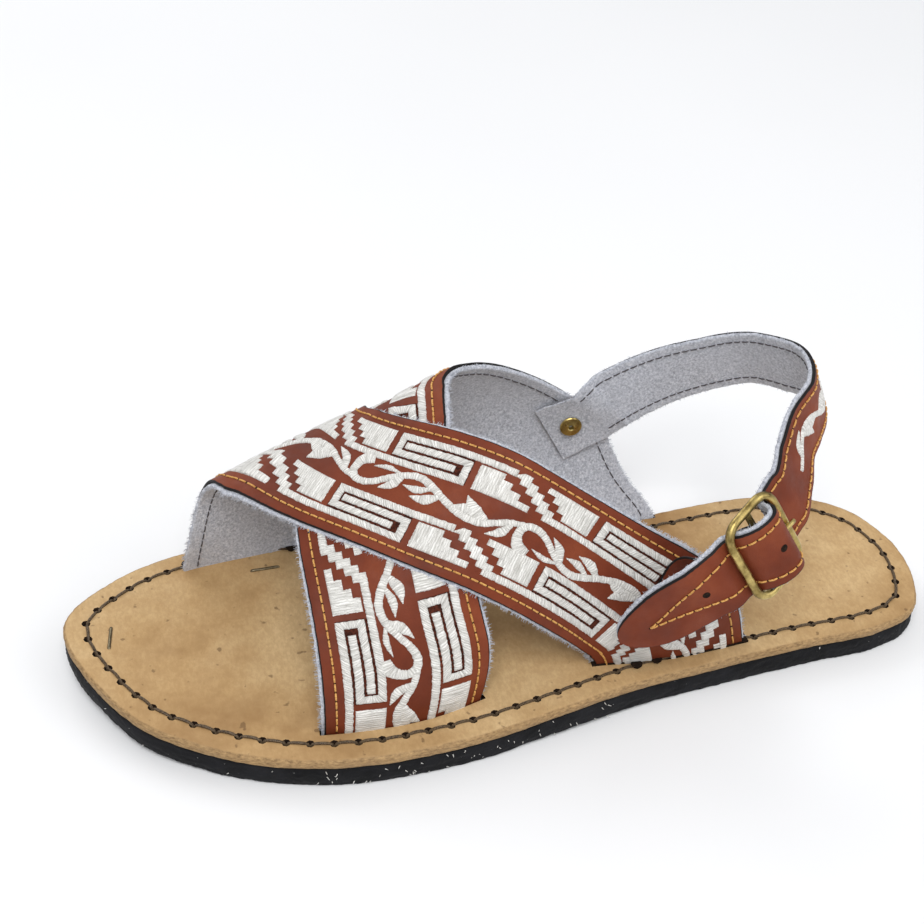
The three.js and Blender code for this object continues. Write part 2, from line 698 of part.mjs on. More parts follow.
// The rivet: a domed head outside, a shank through both walls and a washer on the foot side.
const rivetNormal = lastNormal(rivetAt, rivetOver);
const rivetSeat = lastPoint(rivetAt, rivetOver);

function rivetGeometry() {
  const headBase = wall + gap;
  const washerBase = -(2.3 * gap + rootThickness + 0.2);
  const profile = [
    [rivetBore, washerBase - rivetWasher],
    [rivetWasherRadius - 0.5, washerBase - rivetWasher + 0.1],
    [rivetWasherRadius, washerBase - 0.4],
    [rivetWasherRadius, washerBase],
    [rivetShankRadius, washerBase],
    [rivetShankRadius, headBase],
    [rivetHeadRadius, headBase],
    [rivetHeadRadius * 0.93, headBase + rivetDome * 0.47],
    [rivetHeadRadius * 0.6, headBase + rivetDome * 0.87],
    [0, headBase + rivetDome],
    [0, washerBase + 0.6],
    [rivetBore, washerBase + 0.6],
    [rivetBore, washerBase - rivetWasher],
  ];
  return turnedGeometry(profile, rivetSeat, rivetNormal, 24);
}

function rivetHole() {
  const reach = 4 * wall;
  return rodGeometry(
    rivetSeat.clone().addScaledVector(rivetNormal, -reach),
    rivetSeat.clone().addScaledVector(rivetNormal, reach),
    rivetShankRadius + gap,
    20,
  );
}

function upperGeometry() {
  const top = toSolid(strapSolid(topStrapTable, topLift));
  const under = toSolid(strapSolid(underStrapTable, () => 0));
  return toGeometry(top.add(under).subtract(toSolid(rivetHole())));
}

function heelStrapGeometry() {
  const rows = heelStrapRows();
  const half = heelStrapWidth / 2;
  const tipShare = 2.1 / (rows.length - 1);
  const halfWidthAt = (t) => {
    const fromTip = Math.min((1 - t) / tipShare, 1);
    return Math.max(half * Math.sqrt(1 - (1 - fromTip) ** 2), half * 0.16);
  };
  let strap = toSolid(ribbonSolid(rows, halfWidthAt, ribbonSteps));
  const prongHole = rodGeometry(
    inBuckle(-eyeOuter, 0, prongOut),
    inBuckle(-prongTip - 1, 0, prongOut),
    prongWire / 2 + gap,
  );
  const through = (row, next) => {
    const out = row.lean.clone().cross(next.point.clone().sub(row.point).normalize()).normalize();
    const reach = 2 * heelStrapThickness;
    return rodGeometry(
      row.point.clone().addScaledVector(out, -reach / 2),
      row.point.clone().addScaledVector(out, reach),
      holeRadius,
    );
  };
  const billet = rows.length - billetTable.length;
  const archHole = rodGeometry(
    inBuckle(weaveTable[8].run * ringHalfRun, 0, eyeOuter + gap),
    inBuckle(weaveTable[8].run * ringHalfRun, 0, ringHalfRun * 1.2),
    holeRadius,
  );
  const billetHole = through(rows[billet], rows[billet + 1]);
  for (const hole of [prongHole, archHole, billetHole, rivetHole()]) strap = strap.subtract(toSolid(hole));
  return toGeometry(largestBody(strap.subtract(buckleSolid(gap))));
}

// A staple: its crown lies in a groove of the insole and its legs go down into the leather.
function stapleBoxes(length, wire, leg) {
  const crown = new THREE.BoxGeometry(length, wire, wire);
  crown.translate(0, 0, wire / 2);
  const legs = [-1, 1].map((side) => {
    const box = new THREE.BoxGeometry(wire, wire, leg + wire / 2);
    box.translate(side * (length - wire) / 2, 0, wire / 2 - (leg + wire / 2) / 2);
    return box;
  });
  return [crown, ...legs];
}

function staplePlaced(row, grow) {
  const parts = stapleBoxes(stapleLength + 2 * grow, stapleWire + 2 * grow, stapleLeg + grow);
  const seat = insoleTop(row.at) - stapleWire * 0.6 - grow;
  let solid = null;
  for (const part of parts) {
    part.rotateZ(THREE.MathUtils.degToRad(row.turn));
    part.translate(alongX(row.at), across(row.side), seat);
    solid = solid ? solid.add(toSolid(part)) : toSolid(part);
  }
  return solid;
}

function insoleGeometry() {
  let insole = toSolid(soleSlab(insoleBottom, insoleTop));
  for (const table of [topStrapTable, underStrapTable]) {
    for (const end of [0, 1]) insole = insole.subtract(toSolid(slotSolid(table, end)));
  }
  for (const row of stapleTable) insole = insole.subtract(staplePlaced(row, gap));
  return toGeometry(insole);
}

const sandal = new THREE.Group();

function addPiece(name, geometry, material) {
  const mesh = new THREE.Mesh(geometry, material);
  mesh.name = name;
  sandal.add(mesh);
}

addPiece('outsole', soleSlab(floorLift, outsoleTop), tyreRubber);
addPiece('insole', insoleGeometry(), leatherNatural);
addPiece('upper', upperGeometry(), leatherBrown);
addPiece('heel_strap', heelStrapGeometry(), leatherBrown);
addPiece('buckle_tab', tabGeometry(), leatherBrown);
addPiece('buckle_ring', toGeometry(buckleSolid(0)), brass);
addPiece('buckle_prong', prongGeometry(), brass);
addPiece('rivet', rivetGeometry(), brass);
for (const row of stapleTable) addPiece(row.name, toGeometry(staplePlaced(row, 0)), steel);

export default sandal;
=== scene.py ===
"""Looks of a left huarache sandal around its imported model.

Sizes in the classes are millimetres in the part's own frame: +X is the toe, +Y the outer side of
the foot, +Z up. Meshes are written in metres.
"""

import logging
import math
import random
from dataclasses import dataclass, field
from enum import Enum
from functools import lru_cache
from typing import Callable, Optional, Sequence

import bmesh
import bpy
import numpy as np
from mathutils import Matrix, Vector, noise


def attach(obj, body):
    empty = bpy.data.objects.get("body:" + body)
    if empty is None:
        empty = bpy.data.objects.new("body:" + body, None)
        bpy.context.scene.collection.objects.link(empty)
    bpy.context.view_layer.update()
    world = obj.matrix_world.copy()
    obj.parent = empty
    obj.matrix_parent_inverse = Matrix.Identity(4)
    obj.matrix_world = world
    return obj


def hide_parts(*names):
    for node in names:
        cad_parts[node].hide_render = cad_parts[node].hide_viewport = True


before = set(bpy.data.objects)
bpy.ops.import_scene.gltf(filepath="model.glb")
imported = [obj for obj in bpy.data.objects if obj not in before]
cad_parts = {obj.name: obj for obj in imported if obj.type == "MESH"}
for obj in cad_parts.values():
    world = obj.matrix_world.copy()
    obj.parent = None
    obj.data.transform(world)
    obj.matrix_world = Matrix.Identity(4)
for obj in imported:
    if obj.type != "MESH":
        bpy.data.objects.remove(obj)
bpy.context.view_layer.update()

MM = 0.001
STRAP_WIDTH = 50.0
STRAP_WALL = 2.8
LEVEL_NORMAL = 0.98
SPINE = 10.0
SPINE_WELD = 2e-5
LOG = logging.getLogger("sandal")
Array = np.ndarray
Colour = tuple[float, float, float, float]
Table = tuple[tuple[float, ...], ...]
Rows = Sequence[Sequence[float]]
Socket = bpy.types.NodeSocket


def srgb(red: int, green: int, blue: int) -> Colour:
    """Turn a screen colour into linear light.

    Args:
        red: Red from 0 to 255.
        green: Green from 0 to 255.
        blue: Blue from 0 to 255.

    Returns:
        The linear colour with full alpha.
    """
    def linear(value: int) -> float:
        """One channel in linear light."""
        share = value / 255
        return share / 12.92 if share <= 0.04045 else ((share + 0.055) / 1.055) ** 2.4
    return (linear(red), linear(green), linear(blue), 1.0)


def smooth_step(low: float, high: float, value: Array) -> Array:
    """Rise smoothly from 0 at low to 1 at high."""
    share = np.clip((value - low) / (high - low), 0, 1)
    return share * share * (3 - 2 * share)


def smooth_value(places: Sequence[float], values: Sequence[float], asked: Array) -> Array:
    """Read a smooth curve through table values.

    Args:
        places: Where the table's rows lie, rising.
        values: One column of the table.
        asked: The places to read, held to the table's ends.

    Returns:
        The values of the curve.
    """
    xs = np.asarray(places, float)
    ys = np.asarray(values, float)
    end = len(xs) - 1
    where = np.clip(asked, xs[0], xs[-1])
    row = np.clip(np.searchsorted(xs, where, side="left") - 1, 0, end - 1)
    before = np.maximum(np.arange(end + 1) - 1, 0)
    after = np.minimum(np.arange(end + 1) + 1, end)
    slope = (ys[after] - ys[before]) / (xs[after] - xs[before])
    span = xs[row + 1] - xs[row]
    t = (where - xs[row]) / span
    t2 = t * t
    t3 = t2 * t
    start = (2 * t3 - 3 * t2 + 1) * ys[row] + (t3 - 2 * t2 + t) * span * slope[row]
    return start + (3 * t2 - 2 * t3) * ys[row + 1] + (t3 - t2) * span * slope[row + 1]


def unit(vectors: Array) -> Array:
    """Scale vectors to length one."""
    return vectors / np.linalg.norm(vectors, axis=-1, keepdims=True)


def running_length(points: Array) -> Array:
    """Distance along a polyline at each of its points."""
    steps = np.linalg.norm(np.diff(points, axis=0), axis=1)
    return np.concatenate([[0.0], np.cumsum(steps)])


def points_at(line: Array, marks: Array) -> Array:
    """Points of a flat polyline at distances along it."""
    lengths = running_length(line)
    return np.stack([np.interp(marks, lengths, line[:, k]) for k in range(2)], -1)


def resample(points: Rows, step: float) -> Array:
    """Cut a polyline into even steps that keep its corners.

    Args:
        points: The polyline.
        step: The longest step.

    Returns:
        The new points.
    """
    corners = np.asarray(points, float)
    parts = []
    for first, second in zip(corners[:-1], corners[1:]):
        count = max(1, math.ceil(np.linalg.norm(second - first) / step))
        shares = np.arange(count)[:, None] / count
        parts.append(first + (second - first) * shares)
    parts.append(corners[-1:])
    return np.concatenate(parts)


class SmoothPath:
    """A centripetal curve through points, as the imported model's ribbons and outline use."""

    def __init__(self, points: Array, closed: bool = False) -> None:
        """Keep the points.

        Args:
            points: The points that the curve runs through.
            closed: Whether it runs on from the last point to the first.
        """
        self.points = np.asarray(points, float)
        self.closed = closed

    def at(self, shares: Array) -> Array:
        """Points of the curve.

        Args:
            shares: Shares of the way over its rows.

        Returns:
            A point for each share.
        """
        points = self.points
        count = len(points)
        spans = count if self.closed else count - 1
        place = np.asarray(shares, float) * spans
        row = np.clip(np.floor(place).astype(int), 0, spans - 1)
        t = (place - row)[:, None]
        if self.closed:
            near = [points[(row + k) % count] for k in (-1, 0, 1, 2)]
        else:
            longer = np.concatenate([[2 * points[0] - points[1]], points, [2 * points[-1] - points[-2]]])
            near = [longer[row + k] for k in range(4)]
        gaps = [np.sqrt(np.linalg.norm(b - a, axis=1))[:, None] for a, b in zip(near, near[1:])]
        before, first, second, after = near
        chord = (second - first) / gaps[1]
        leave = (first - before) / gaps[0] - (second - before) / (gaps[0] + gaps[1]) + chord
        reach = chord - (after - first) / (gaps[1] + gaps[2]) + (after - second) / gaps[2]
        leave, reach = leave * gaps[1], reach * gaps[1]
        cubic = 2 * first - 2 * second + leave + reach
        square = -3 * first + 3 * second - 2 * leave - reach
        return first + leave * t + square * t * t + cubic * t * t * t


@dataclass(frozen=True)
class Sole:
    """The sole: its outline, its layers and the way it lies on the floor."""

    length: float = 285.0
    ball_width: float = 104.5
    outsole: float = 7.4
    insole: float = 3.8
    gap: float = 0.3
    toe_spring: float = 4.0
    waist_lift: float = 1.2
    instep: float = 72.0
    heel_middle: float = -0.04
    toe_middle: float = -0.34
    outline: Table = (
        (0.028, 0.50, 0.46), (0.088, 0.72, 0.60), (0.175, 0.78, 0.63), (0.281, 0.735, 0.685),
        (0.386, 0.69, 0.76), (0.491, 0.71, 0.88), (0.596, 0.81, 0.975), (0.702, 0.96, 1.0),
        (0.789, 1.0, 0.915), (0.870, 0.925, 0.72), (0.940, 0.74, 0.425),
    )

    @property
    def half_ball(self) -> float:
        """Half the width at the ball."""
        return self.ball_width / 2

    def along(self, at: Array) -> Array:
        """X of a share of the length."""
        return (np.asarray(at, float) - 0.5) * self.length

    def lift(self, at: Array) -> Array:
        """Height of the outsole's underside over the floor."""
        waist = smooth_step(0.3, 0.45, at) * (1 - smooth_step(0.45, 0.6, at))
        return self.waist_lift * waist + self.toe_spring * np.maximum(0, (at - 0.8) / 0.2) ** 2

    def insole_top(self, at: Array) -> Array:
        """Height of the insole's upper face."""
        return self.lift(at) + self.outsole + self.gap + self.insole

    def edges(self, stations: int) -> tuple[Array, Array, Array]:
        """Both edges of the outline.

        Args:
            stations: How many places along the sole.

        Returns:
            X of the places, and Y of the medial and of the lateral edge there.
        """
        half = self.half_ball
        points = [(self.along(0.0), self.heel_middle * half)]
        points += [(self.along(at), -medial * half) for at, medial, _ in self.outline]
        points += [(self.along(1.0), self.toe_middle * half)]
        points += [(self.along(at), lateral * half) for at, _, lateral in reversed(self.outline)]
        loop = SmoothPath(np.array(points, float), closed=True).at(np.arange(2400) / 2400)
        heel, toe = int(np.argmin(loop[:, 0])), int(np.argmax(loop[:, 0]))
        turned = np.roll(loop, -heel, axis=0)
        split = (toe - heel) % len(loop)
        medial = turned[:split + 1]
        lateral = np.concatenate([turned[split:], turned[:1]])[::-1]
        turn = np.linspace(0, math.pi, stations)
        x = medial[0, 0] + (medial[-1, 0] - medial[0, 0]) * (1 - np.cos(turn)) / 2
        return x, np.interp(x, medial[:, 0], medial[:, 1]), np.interp(x, lateral[:, 0], lateral[:, 1])


class Side(Enum):
    """A side of the foot."""

    MEDIAL = "medial"
    LATERAL = "lateral"


@dataclass(frozen=True)
class Last:
    """The foot's form that the straps follow."""

    sole: Sole = Sole()
    medial_turn: float = 2.6
    lateral_turn: float = 1.9
    rows: Table = (
        (0.210, -0.700, 0.480, -0.390, 1.010, 0.06, 0.04, 3.0),
        (0.351, -0.690, 0.548, -0.430, 1.020, 0.22, 0.06, 4.0),
        (0.456, -0.700, 0.525, -0.490, 1.075, 0.26, 0.06, 5.0),
        (0.509, -0.722, 0.565, -0.530, 1.070, 0.23, 0.06, 5.0),
        (0.561, -0.757, 0.620, -0.550, 0.990, 0.16, 0.06, 4.5),
        (0.632, -0.824, 0.715, -0.570, 0.835, 0.09, 0.04, 3.4),
        (0.702, -0.862, 0.727, -0.585, 0.703, 0.06, 0.02, 3.1),
        (0.772, -0.833, 0.690, -0.585, 0.590, 0.02, 0.02, 2.7),
        (0.860, -0.757, 0.600, -0.550, 0.465, -0.03, 0.02, 2.3),
        (0.930, -0.585, 0.450, -0.430, 0.375, 0.02, 0.02, 2.6),
    )
    columns: tuple[str, ...] = ("medial", "lateral", "ridge", "height", "swell_in", "swell_out", "square")

    def column(self, name: str, at: Array) -> Array:
        """One column of the sections at places along the sole."""
        index = self.columns.index(name) + 1
        return smooth_value([row[0] for row in self.rows], [row[index] for row in self.rows], at)

    def point(self, at: Array, over: Array) -> Array:
        """Points of the last.

        Args:
            at: Shares of the sole's length.
            over: Shares of the way from the medial feather edge to the lateral one.

        Returns:
            The points.
        """
        at, over = np.broadcast_arrays(np.asarray(at, float), np.asarray(over, float))
        medial = over < 0.5
        turn = np.where(medial, self.medial_turn, self.lateral_turn)
        rise = np.clip(np.sin(over * math.pi), 0, 1) ** (2 / turn)
        square = np.where(medial, self.column("square", at), self.lateral_turn)
        reach = np.maximum(1 - rise ** square, 0) ** (1 / square)
        ridge = self.column("ridge", at)
        feather = np.where(medial, self.column("medial", at), self.column("lateral", at))
        swell = np.where(medial, -self.column("swell_in", at), self.column("swell_out", at))
        side = ridge + (feather - ridge) * reach + swell * 4 * rise * (1 - rise) * reach
        height = self.sole.insole_top(at) + self.column("height", at) * self.sole.instep * rise
        return np.stack([self.sole.along(at), side * self.sole.half_ball, height], -1)

    def normal(self, at: Array, over: Array) -> Array:
        """Outward unit normals of the last.

        Args:
            at: Shares of the sole's length.
            over: Shares of the way from the medial feather edge to the lateral one.

        Returns:
            The normals.
        """
        step = 0.004
        safe = np.clip(over, 3 * step, 1 - 3 * step)
        lengthways = self.point(at + step, safe) - self.point(at - step, safe)
        sideways = self.point(at, safe + step) - self.point(at, safe - step)
        return unit(np.cross(lengthways, sideways))

    def stand_off(self, at: float, over: float, height: float) -> Array:
        """A point at a height over the last."""
        return self.point(at, over) + self.normal(at, over) * height

    def on_skin(self, points: Array, side: Side, skin: Array) -> Array:
        """Move points onto the last where it lies at their own X and Z.

        Args:
            points: The points.
            side: The side of the foot that they lie on.
            skin: How far outside the last each one ends.

        Returns:
            The moved points.
        """
        at = points[..., 0] / self.sole.length + 0.5
        height = self.column("height", at) * self.sole.instep
        rise = np.clip((points[..., 2] - self.sole.insole_top(at)) / height, 0, 1)
        turn = self.lateral_turn if side is Side.LATERAL else self.medial_turn
        turned = np.arcsin(rise ** (turn / 2)) / math.pi
        over = 1 - turned if side is Side.LATERAL else turned
        return self.point(at, over) + self.normal(at, over) * np.asarray(skin)[..., None]


class Strap:
    """A band that is read by its length, its width and its thickness."""

    length: float
    width: float
    wall: float

    def place(self, along: Array, across: Array, out: Array) -> Array:
        """Points of the strap in millimetres."""
        raise NotImplementedError


class CrossStrap(Strap):
    """One of the two crossed straps of the upper."""

    samples = 500

    def __init__(self, last: Last, rows: Rows, lift: float) -> None:
        """Measure the strap.

        Args:
            last: The form that it follows.
            rows: Its folds: front edge along and over the last, rear edge along and over.
            lift: How far it stands off where it passes over the other strap.
        """
        self.last = last
        self.rows = rows
        self.lift = lift
        self.width = STRAP_WIDTH
        self.wall = STRAP_WALL
        self._shares = np.linspace(0, 1, self.samples)
        middle = self._surface(self._shares, np.full(self.samples, 0.5), np.full(self.samples, self.wall))
        self._lengths = running_length(middle)
        self.length = float(self._lengths[-1])

    def _fold(self, column: int, shares: Array) -> Array:
        """One column of the folds at shares of the rows."""
        count = len(self.rows)
        return smooth_value(np.arange(count) / (count - 1), [row[column] for row in self.rows], shares)

    def _surface(self, shares: Array, across: Array, out: Array) -> Array:
        """Points between the folds.

        Args:
            shares: Shares of the rows.
            across: Shares of the width.
            out: Distance from the foot side.

        Returns:
            The points.
        """
        at = self._fold(0, shares) * (1 - across) + self._fold(2, shares) * across
        over = np.clip(self._fold(1, shares) * (1 - across) + self._fold(3, shares) * across, 0, 1)
        leaves_slot, nears_crossing = smooth_step(0.05, 0.3, over), smooth_step(0.44, 0.54, at)
        lift = self.lift * leaves_slot * nears_crossing
        return self.last.point(at, over) + self.last.normal(at, over) * (lift + out)[..., None]

    def place(self, along: Array, across: Array, out: Array) -> Array:
        """Points of the strap.

        Args:
            along: Distance from the strap's medial front end; past an end it goes straight down.
            across: Distance from the front edge.
            out: Distance from the foot side.

        Returns:
            The points.
        """
        along, across, out = np.broadcast_arrays(*(np.asarray(v, float) for v in (along, across, out)))
        shares = np.interp(along, self._lengths, self._shares)
        points = self._surface(shares, across / self.width, out)
        past = np.maximum(-along, 0) + np.maximum(along - self.length, 0)
        points[..., 2] -= past
        return points


@dataclass(frozen=True)
class Buckle:
    """Frame of the buckle: run across its bars, bars along them, out away from the foot."""

    sole: Sole = Sole()
    at: float = 0.2807
    side: float = 0.785
    rise: float = 0.735
    run_way: tuple[float, float, float] = (0.789, 0.504, -0.351)
    bars_way: tuple[float, float, float] = (0.496, -0.186, 0.848)
    ring_length: float = 23.0
    ring_width: float = 31.4
    wire: float = 2.8
    corner: float = 5.6
    bar_wire: float = 2.2
    prong_wire: float = 1.6
    tab_thickness: float = 1.2
    tab_width: float = 15.0

    @property
    def half_run(self) -> float:
        """Half the ring's length between the middles of its wires."""
        return (self.ring_length - self.wire) / 2

    @property
    def half_bars(self) -> float:
        """Half the ring's width between the middles of its wires."""
        return (self.ring_width - self.wire) / 2

    @property
    def eye(self) -> tuple[float, float]:
        """Inner and outer radius of what wraps the bar."""
        inner = self.bar_wire / 2 + self.sole.gap
        return inner, inner + self.tab_thickness

    def axes(self) -> tuple[Array, Array, Array, Array]:
        """The frame's middle, and its run, bars and out axes."""
        middle = np.array([
            float(self.sole.along(self.at)),
            self.side * self.sole.half_ball,
            float(self.sole.insole_top(np.array(self.at))) + self.rise * self.sole.instep,
        ])
        run = unit(np.array(self.run_way))
        bars = unit(np.array(self.bars_way))
        bars = unit(bars - run * float(bars @ run))
        return middle, run, bars, unit(np.cross(bars, run))

    def place(self, run: Array, bars: Array, out: Array) -> Array:
        """Points in the buckle's frame.

        Args:
            run: Distance from the middle across the bars, towards the heel strap's tip.
            bars: Distance along the bars.
            out: Distance away from the foot.

        Returns:
            The points.
        """
        middle, run_axis, bars_axis, out_axis = self.axes()
        run, bars, out = np.broadcast_arrays(*(np.asarray(v, float)[..., None] for v in (run, bars, out)))
        return middle + run * run_axis + bars * bars_axis + out * out_axis


@dataclass
class RibbonRow:
    """A row of a ribbon: middle point, lean of its upper edge, thickness, and how it clings."""

    point: Array
    lean: Array
    thickness: float
    cling: float = 0.0
    skin: float = 0.0


class Ribbon(Strap):
    """A free band along rows, which may cling to the last and end in a rounded tip."""

    samples = 1600

    def __init__(self, last: Last, rows: list[RibbonRow], width: float, side: Side) -> None:
        """Measure the ribbon.

        Args:
            last: The form that it may cling to.
            rows: Its rows.
            width: Its full width.
            side: The side of the foot that it clings to.
        """
        self.last, self.rows, self.width, self.side = last, rows, width, side
        self.tip = 0.0
        self.wall = max(row.thickness for row in rows)
        self._path = SmoothPath(np.array([row.point for row in rows]))
        self._shares = np.linspace(0, 1, self.samples)
        self._lengths = running_length(self._path.at(self._shares))
        self.length = float(self._lengths[-1])

    def share_at(self, along: Array) -> Array:
        """Shares of the rows at distances along the ribbon."""
        return np.interp(along, self._lengths, self._shares)

    def length_at_row(self, row: float) -> float:
        """Distance along the ribbon at a row."""
        return float(np.interp(row / (len(self.rows) - 1), self._shares, self._lengths))

    def _row_values(self, shares: Array) -> tuple[Array, Array, Array, Array]:
        """Values between the rows.

        Args:
            shares: Shares of the rows.

        Returns:
            Lean, thickness, cling and skin.
        """
        place = shares * (len(self.rows) - 1)
        rows = np.arange(len(self.rows))
        lean = np.stack([np.interp(place, rows, [row.lean[k] for row in self.rows]) for k in range(3)], -1)
        plain = [np.interp(place, rows, [getattr(row, name) for row in self.rows])
                 for name in ("thickness", "cling", "skin")]
        return lean, *plain

    def place(self, along: Array, across: Array, out: Array) -> Array:
        """Points of the ribbon.

        Args:
            along: Distance from its first end.
            across: Distance from its upper edge.
            out: Distance from the foot side, for the full thickness.

        Returns:
            The points.
        """
        along, across, out = np.broadcast_arrays(*(np.asarray(v, float) for v in (along, across, out)))
        flat = along.ravel()
        shares = np.clip(self.share_at(flat), 0, 1)
        step = 0.0006
        ahead, behind = np.clip(shares + step, 0, 1), np.clip(shares - step, 0, 1)
        tangent = unit(self._path.at(ahead) - self._path.at(behind))
        lean, thickness, cling, skin = self._row_values(shares)
        lean = unit(lean - tangent * np.sum(lean * tangent, axis=1, keepdims=True))
        normal = unit(np.cross(lean, tangent))
        reach = np.full(flat.shape, 1.0)
        if self.tip:
            near = np.clip((self.length - flat) / self.tip, 0, 1)
            reach = np.maximum(np.sqrt(1 - (1 - near) ** 2), 0.02)
        sideways = (0.5 * self.width - across.ravel()) * reach
        above = (out.ravel() / self.wall - 0.5) * thickness
        base = self._path.at(shares) + lean * sideways[:, None]
        points = base + normal * above[:, None]
        held = cling > 0
        if held.any():
            skinned = self.last.on_skin(base[held], self.side, skin[held] + above[held])
            share = cling[held][:, None]
            points[held] = points[held] * (1 - share) + skinned * share
        return points.reshape(along.shape + (3,))


@lru_cache(maxsize=None)
def tube_pattern(stations: int, around: int, closed: bool) -> tuple[Array, list[list[int]]]:
    """Faces of a tube whose rings close on themselves, made once for each size.

    Args:
        stations: How many rings.
        around: Points of a ring.
        closed: Whether the last ring runs on to the first.

    Returns:
        The ring point that each corner stands for, and the corners of the faces.
    """
    lengthways = stations if closed else stations - 1
    bm = bmesh.new()
    made = bmesh.ops.create_grid(bm, x_segments=lengthways, y_segments=around, size=1.0)["verts"]
    for vert in made:
        vert.co.x = round((vert.co.x + 1) / 2 * lengthways) % stations
        vert.co.y = round((vert.co.y + 1) / 2 * around) % around
    bmesh.ops.remove_doubles(bm, verts=made, dist=0.1)
    rims = [edge for edge in bm.edges if edge.is_boundary]
    if rims:
        bmesh.ops.holes_fill(bm, edges=rims, sides=0)
    bm.verts.index_update()
    points = np.array([round(vert.co.x) * around + round(vert.co.y) for vert in bm.verts])
    faces = [[vert.index for vert in face.verts] for face in bm.faces]
    bm.free()
    return points, faces


@dataclass
class Pile:
    """Closed tubes gathered into one mesh.

    An edge past the angle sharp, in degrees, stays hard. Points nearer than weld, in metres, merge.
    Where level is set, faces that look straight up or down are shaded flat.
    """

    sharp: float = 50.0
    weld: float = 0.0
    level: bool = False
    points: list[Array] = field(default_factory=list)
    marks: list[Array] = field(default_factory=list)
    faces: list[list[int]] = field(default_factory=list)
    count: int = 0

    def add(self, rings: Array, marks: Optional[Array] = None, closed: bool = False) -> None:
        """Add a tube.

        Args:
            rings: Ring points in millimetres, stations by points by 3.
            marks: Values that the material reads, one for each ring point.
            closed: Whether the last ring runs on to the first.
        """
        index, faces = tube_pattern(rings.shape[0], rings.shape[1], closed)
        values = np.zeros(rings.shape) if marks is None else marks
        self.points.append(rings.reshape(-1, 3)[index] * MM)
        self.marks.append(values.reshape(-1, 3)[index])
        start = self.count
        self.faces += [[corner + start for corner in face] for face in faces]
        self.count += len(index)

    def mesh(self, name: str) -> bpy.types.Mesh:
        """Turn the tubes into a mesh with its faces out.

        Args:
            name: The mesh's name.

        Returns:
            The mesh.
        """
        mesh = bpy.data.meshes.new(name)
        mesh.from_pydata(np.concatenate(self.points), [], self.faces)
        layer = mesh.attributes.new("mark", "FLOAT_VECTOR", "POINT")
        layer.data.foreach_set("vector", np.concatenate(self.marks).ravel())
        bm = bmesh.new()
        bm.from_mesh(mesh)
        if self.weld:
            bmesh.ops.remove_doubles(bm, verts=bm.verts, dist=self.weld)
        bmesh.ops.recalc_face_normals(bm, faces=bm.faces)
        for face in bm.faces:
            face.smooth = not (self.level and abs(face.normal.z) > LEVEL_NORMAL)
        limit = math.radians(self.sharp)
        for edge in bm.edges:
            if len(edge.link_faces) == 2 and edge.calc_face_angle(0.0) > limit:
                edge.smooth = False
        bm.to_mesh(mesh)
        bm.free()
        return mesh


def finish_piece(pile: Pile, name: str, finish: "Finish", slot: str,
                 nodes: Sequence[str] = ()) -> bpy.types.Object:
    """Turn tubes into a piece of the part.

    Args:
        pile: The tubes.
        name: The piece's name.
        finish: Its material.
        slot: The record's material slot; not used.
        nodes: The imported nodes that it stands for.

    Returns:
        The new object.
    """
    mesh = pile.mesh(name)
    mesh.materials.append(finish.material())
    piece = bpy.data.objects.new(name, mesh)
    bpy.context.scene.collection.objects.link(piece)
    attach(piece, "root")
    if nodes:
        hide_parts(*nodes)
    LOG.info("%s: %d faces", name, len(mesh.polygons))
    return piece


